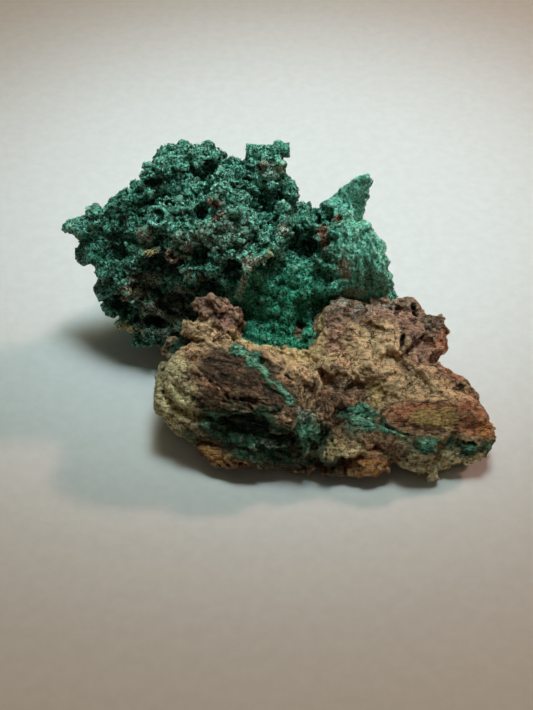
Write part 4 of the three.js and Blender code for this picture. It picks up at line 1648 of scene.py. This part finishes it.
    def roughen(self, body: Carving) -> None:
        """Adds the small bubbles, crusts and streaks.

        Args:
            body: the malachite.
        """
        p = body.points
        silky = self.calm(p)
        warped = p + 0.3 * self.grain.swirl(p, 1.0)
        near, then, _ = self.grain.cells(warped, 0.8)
        beads = 0.03 * step(near, 0.8, 0.0) - 0.08 * step(then - near, 0.2, 0.0)
        self.crest = self.grain.ridges(warped, 1.25, 2) ** 2
        flakes, edge = self.grain.plates(warped, 1.0)
        ruffle = 0.27 * (self.crest - 0.4) + 0.05 * self.grain.fractal(p, 0.6, 2, 0.6) + 0.15 * flakes
        ruffle = ruffle - 0.12 * step(edge, 0.1, 0.0)
        fan = self.fan(p + 0.25 * self.grain.swirl(p, 2)) * (1, 0.16, 1)
        self.streak = self.grain.fractal(fan, 0.75, 3, 0.65)
        calm = np.max([0.85 * silky, 0.8 * covered(p, self.plain), 0.75 * self.horn.cover(p)], axis=0)
        height = (beads + ruffle) * (1 - calm) + 0.3 * self.streak * np.maximum(silky, 0.6 * self.horn.cover(p))
        body.push(height * step(p[:, 2], 0.0, 0.8))

    def paint(self, body: Carving) -> None:
        """Marks where each of the growth's colours, its painted highlights, glints and shine and its painted shade
        show.

        Args:
            body: the malachite.
        """
        p = body.points
        ragged = 0.34 * self.grain.fractal(p, 2.0, 3, 0.65)
        close, wide = body.relief(12), body.relief(90)
        silky = np.maximum(self.calm(p), 0.45 * self.horn.cover(p))
        crown = covered(p, self.crown, ragged)
        face = covered(p, [Patch((-11, 4, 24), (14, 8, 10))], ragged, 0.8)
        # Painted shade: the hollows, the lower west flank and the caverns are marked to be darkened towards black.
        self.hollow = np.clip(np.maximum(0.9 * step(-close, 0.05, 0.26), step(-wide, 0.15, 0.9)), 0, 1)
        low = covered(p, [Patch((-26, 4, 12), (9, 8, 11), 0.7), Patch((-15, 0, 10), (10, 4, 8), 0.5)], ragged)
        caves = [Patch((cave.at[0], cave.at[1] + 1.3, cave.at[2] - 0.2), cave.reach) for cave in self.caverns()]
        self.hollow = np.clip(self.hollow + low * step(-wide, -0.5, 0.3) * 0.6, 0, 1)
        self.hollow = np.maximum(self.hollow, 0.95 * covered(p, caves, 0.3 * ragged, 0.7))
        body.paint("relief", np.clip(close / 0.14, -1, 1))
        body.paint("hollow", self.hollow * 0.95)
        body.paint("crest", np.clip(self.crest * 1.3, 0, 1))
        body.paint("teal", np.clip(0.9 * crown + 0.3 * covered(p, [Patch((-10, 8, 28), (10, 6, 6))], ragged), 0, 1))
        # How strong the painted highlights are: some everywhere, more on the crown, the face and the silky part.
        body.paint("painted_highlight", np.clip(0.34 + 0.5 * crown + 0.26 * face + 0.4 * silky, 0, 1))
        # How strong the painted glints on the crests are.
        body.paint("curl", np.clip(0.2 + 0.8 * face + 0.4 * crown, 0, 1) * (1 - 0.6 * silky))
        body.paint("silk", np.maximum(silky, 0.7 * self.horn.cover(p)))
        # Where the painted shine shows.
        body.paint("painted_shine", covered(p, [
            Patch((-1.1, 12.2, 30.4), (1.6, 1.4, 1.4)), Patch((-9.4, 8.2, 31.0), (1.6, 1.3, 1.1)), Patch((-6.2, 6.0, 28.3), 1.2, 0.8),
            Patch((-19.2, 4.2, 28.2), (1.4, 1.6, 1.0)), Patch((-20.6, 8.9, 30.2), (1.2, 1.0, 0.8), 0.9), Patch((-8.4, 2.6, 22.4), 1.2, 0.7),
            Patch((-16.8, 4.8, 27.2), (1.0, 0.8, 0.8), 0.7), Patch((12.8, 11.6, 28.6), (5.0, 3.2, 4.4), 0.75), Patch((13.8, 11.2, 29.0), (1.0, 1.2, 1.0)),
            Patch((-32.6, 9.8, 22.6), (1.6, 1.2, 0.8), 0.6), Patch((-29.6, 4.4, 12.6), (1.0, 1.0, 0.8), 0.7),
            Patch((-16.5, 14.4, 34.4), (1.6, 1.2, 0.9), 0.6), Patch((-11.8, 11.8, 33.6), (1.0, 1.0, 0.8), 0.8),
        ], ragged, 0.5))
        body.paint("streak", np.clip(0.5 + 0.6 * self.streak, 0, 1))
        velvet = [Patch((0.6, -1.4, 13.2), (9.4, 5.6, 8.4)), Patch((3.4, 3, 19), (3, 3, 3), 0.7)]
        body.paint("emerald", covered(p, velvet, ragged, 0.8))
        body.paint("ash", np.clip(0.15 + 0.6 * face, 0, 1) * (1 - 0.8 * crown))
        body.paint("rust", covered(p, [
            Patch((-10.3, 6.7, 30.0), 1.3), Patch((-9.4, 5.4, 28.4), (1.3, 1.2, 1.1), 0.8), Patch((-17.1, 1.0, 23.4), 1.6),
            Patch((7.2, 5.8, 24.8), (1.1, 1.4, 1.9)), Patch((8.2, 5.0, 22.4), (1.3, 1.4, 1.1)), Patch((10.0, 8, 26.0), 0.8),
            Patch((11.0, 1.6, 20.6), (1.1, 1.6, 2.2), 0.8), Patch((-2.6, 13.0, 33.0), (1.0, 1.2, 0.8), 0.9),
            Patch((-15.2, -0.8, 20.2), 0.9, 0.8), Patch((-25, 1.4, 14.4), (2.6, 2, 2.6), 0.7), Patch((-22, 2.4, 17), (3, 2, 3), 0.6),
            Patch((-17, 0.5, 15), (3, 2, 2.4), 0.7), Patch((-13, -0.6, 15.6), (2.4, 2, 2), 0.6), Patch((-14, 3, 24), (3, 2, 3), 0.5),
            Patch((-12, -0.2, 18), (2.6, 2, 1.6), 0.6), Patch((-20, 0.6, 12.6), (3, 2, 2), 0.5),
            Patch((12, 1.0, 15.6), (3, 1.6, 1.2), 0.6), Patch((-13.4, 2, 24), (1.2, 1.4, 1), 0.7),
        ], ragged, 0.6))
        body.paint("crust", covered(p, [
            Patch((-21.4, 3.4, 25.8), (1.8, 1.8, 1.8), 0.85), Patch((-14.8, -0.8, 21), 1.4, 0.7),
            Patch((-5.7, -1, 18.8), (1.2, 1.4, 3.4), 0.9), Patch((-3.6, 0.4, 22.6), (2, 1.6, 1.2)),
            Patch((0.8, 6, 25.2), (1.2, 1.2, 0.8), 0.7), Patch((-9, 3.4, 26), (4, 2, 3), 0.4),
            Patch((-19, 1, 11), (5, 3, 4), 0.5), Patch((-1.4, 13.4, 32.2), (2.0, 1.6, 1.4), 0.5),
            Patch((-15.3, 1.6, 26.4), (1.6, 1.4, 1.6), 0.5),
        ], ragged, 0.6))
        body.paint("tan", covered(p, [
            Patch((-20.2, 2.2, 23.2), (1.7, 1.4, 0.8)), Patch((-25.4, 0.6, 7.8), (2.6, 1.6, 1.0), 0.9),
            Patch((-0.8, 1.6, 22.6), (0.9, 1.0, 1.3), 0.9), Patch((-24.4, 1.4, 15.4), (1.4, 1.2, 0.6), 0.6),
            Patch((0.9, 13.0, 33.0), (0.6, 0.9, 0.8), 0.6), Patch((-34.6, 9.4, 23.6), (1.2, 1, 0.6), 0.6),
        ], ragged, 0.6))
        self.face, self.crowned = face, crown

    def chosen(self, body: Carving, weight: Array, count: int, seed: int) -> tuple[Array, np.random.Generator]:
        """Picks vertices at random.

        Args:
            body: the finished growth.
            weight: how likely each vertex is.
            count: how many.
            seed: picks the numbers.

        Returns:
            The picked rows, and the random numbers for more.
        """
        roll = np.random.default_rng(seed)
        weight = weight * step(body.points[:, 2], 1.2, 2.5)
        return roll.choice(len(weight), count, replace=False, p=weight / weight.sum()), roll

    def curls(self, body: Carving) -> Sprigs:
        """The broken cups and flakes that stick out all over the knobs."""
        weight = (0.35 + self.face + 0.6 * self.crowned) * (1 - 0.9 * self.calm(body.points)) * (1 - 0.7 * self.hollow)
        weight *= 1 - 0.6 * covered(body.points, self.cave)
        weight *= (1 - 0.85 * covered(body.points, self.plain)) * (1 - 0.8 * self.horn.cover(body.points))
        rows, roll = self.chosen(body, weight, 1100, 41)
        size = roll.uniform(0.26, 0.66, len(rows)) * (1 + 0.5 * (roll.random(len(rows)) > 0.9))
        leans = body.normals[rows] + roll.normal(0, 0.8, (len(rows), 3))
        # Curls in the hollows are made darker: painted shade.
        shade = np.clip(roll.beta(0.8, 1.3, len(rows)) + 0.2 * self.crowned[rows] - 0.3 * self.hollow[rows], 0, 1)
        sizes = np.stack([size, size * roll.uniform(0.6, 1.0, len(rows)), size * roll.uniform(0.7, 1.5, len(rows))], 1)
        return Sprigs(Template.CURL, body.points[rows] - 0.02 * leans, leans, sizes, shade, 3)

    def needles(self, body: Carving) -> Sprigs:
        """The velvet of short needles in the hollow over the rock."""
        weight = covered(body.points, [Patch((1, -1.0, 13.4), (10, 6.4, 9.4))], 0.0, 0.8) + 0.008
        weight *= (1 - 0.7 * self.hollow) * (1 - 0.8 * self.calm(body.points))
        rows, roll = self.chosen(body, weight, 3600, 43)
        thick = roll.uniform(0.035, 0.065, len(rows))
        leans = body.normals[rows] + roll.normal(0, 0.45, (len(rows), 3))
        sizes = np.stack([thick, thick, roll.uniform(0.3, 0.85, len(rows))], axis=1)
        return Sprigs(Template.NEEDLE, body.points[rows] - 0.05 * leans, leans, sizes, roll.beta(1.3, 2, len(rows)), 5)

    def threads(self, body: Carving) -> Sprigs:
        """The pale threads that lie down the silky shoulder."""
        p = body.points
        skirt = covered(p, [Patch((9.5, 1.6, 17), (3.6, 3, 5)), Patch((5, 3.4, 20), (4, 3, 3), 0.5)])
        weight = (self.calm(p) + skirt) * step(-body.normals[:, 1], 0.1, 0.6) * (1 - 0.6 * self.hollow) + 1e-9
        rows, roll = self.chosen(body, weight, 180, 47)
        fall = p[rows] - np.array((10.5, 8.0, 33.0)) + roll.normal(0, 2.2, (len(rows), 3))
        out = body.normals[rows]
        leans = fall - np.einsum("ij,ij->i", fall, out)[:, None] * out
        leans = leans / np.linalg.norm(leans, axis=1)[:, None] + 0.05 * out
        thick = roll.uniform(0.025, 0.045, len(rows))
        sizes = np.stack([thick, thick, roll.uniform(0.8, 2.0, len(rows))], axis=1)
        places = p[rows] + 0.03 * out - 0.5 * leans * sizes[:, 2:]
        return Sprigs(Template.THREAD, places, leans, sizes, np.clip(roll.uniform(0.2, 1.1, len(rows)), 0, 1), 7)


# ---------------------------------------------------------------- the studio


@dataclass(frozen=True)
class Lamp:
    """A round soft light.

    Attributes:
        name: its name.
        at: where it hangs.
        to: what it faces.
        size: its width.
        power: its power in watts.
        color: its colour.
        spread: how wide it shines, in degrees.
    """

    name: str
    at: Triple
    to: Triple
    size: float
    power: float
    color: Color
    spread: float = 180.0

    def hang(self) -> None:
        """Hangs the light."""
        lamp = bpy.data.lights.new(self.name, "AREA")
        lamp.shape = "DISK"
        lamp.size = self.size * MM
        lamp.energy = self.power
        lamp.color = self.color
        lamp.spread = math.radians(self.spread)
        holder = bpy.data.objects.new(self.name, lamp)
        holder.location = Vector(self.at) * MM
        holder.rotation_euler = (Vector(self.at) - Vector(self.to)).to_track_quat("Z", "Y").to_euler()
        bpy.context.collection.objects.link(holder)


@dataclass
class Studio:
    """The paper, the lights and the camera.

    Attributes:
        floor_size: side of the paper.
        lens: focal length.
        camera_at: where the camera stands.
        elevation: how far it looks down, in degrees.
        lamps: the lights.
        sky: colour and strength of the light from all round.
    """

    floor_size: float = 3000.0
    lens: float = 70.73
    camera_at: Triple = (-1.72, -177.68, 162.89)
    elevation: float = 42.0
    lamps: tuple = (
        Lamp("window", (28, 64, 225), (1, 46, 0), 153, 0.043, (0.69, 0.92, 1.0), 30),
        Lamp("side", (520, 300, 420), (0, 5, 10), 70, 1.75, (1.0, 0.59, 0.5)),
        Lamp("ceiling", (0, 200, 900), (0, 20, 0), 400, 1.4, (1.0, 0.97, 0.66)),
    )
    sky: tuple = ((1.0, 0.98, 0.8), 0.065)

    def build(self) -> None:
        """Sets everything up."""
        self.lay_paper()
        for lamp in self.lamps:
            lamp.hang()
        world = bpy.data.worlds.new("room")
        world.use_nodes = True
        color, strength = self.sky
        world.node_tree.nodes["Background"].inputs["Color"].default_value = (*color, 1)
        world.node_tree.nodes["Background"].inputs["Strength"].default_value = strength
        bpy.context.scene.world = world
        self.stand_camera()
        bpy.context.scene.view_settings.view_transform = "Standard"

    def lay_paper(self) -> None:
        """Lays the paper under the specimen."""
        work = bmesh.new()
        bmesh.ops.create_grid(work, x_segments=1, y_segments=1, size=self.floor_size / 2 * MM)
        mesh = bpy.data.meshes.new("paper")
        work.to_mesh(mesh)
        work.free()
        mesh.materials.append(PaperFinish().material())
        floor = bpy.data.objects.new("paper", mesh)
        bpy.context.collection.objects.link(floor)

    def stand_camera(self) -> None:
        """Stands the camera where it looks down at the specimen."""
        camera = bpy.data.cameras.new("camera")
        camera.lens = self.lens
        camera.clip_start = 0.01
        holder = bpy.data.objects.new("camera", camera)
        holder.location = Vector(self.camera_at) * MM
        holder.rotation_euler = Euler((math.radians(90 - self.elevation), 0, 0))
        bpy.context.collection.objects.link(holder)
        bpy.context.scene.camera = holder


def main() -> None:
    """Builds the specimen and the studio, and logs each piece's face count."""
    logging.basicConfig(level=logging.INFO, format="%(message)s")
    rock = MatrixRock().build()
    look = RockFinish().material()
    for number, part in enumerate(split(rock.mesh, 4), 1):
        finished(part, f"rock_{number}", look, Body.ROCK)
    growth = MalachiteGrowth()
    green = growth.build()
    sprigs = SprigFinish().material()
    velvet = SprigFinish((0.008, 0.28, 0.13), (0.26, 0.95, 0.62), "malachite_velvet").material()
    finished(growth.curls(green).mesh(), "curls", sprigs, None)
    finished(growth.needles(green).mesh(), "needles", velvet, None)
    finished(growth.threads(green).mesh(), "threads", sprigs, None)
    look = MalachiteFinish().material()
    for number, part in enumerate(split(green.mesh, 5), 1):
        finished(part, f"growth_{number}", look, Body.GREEN)
    Studio().build()


if __name__ == "__main__":
    main()
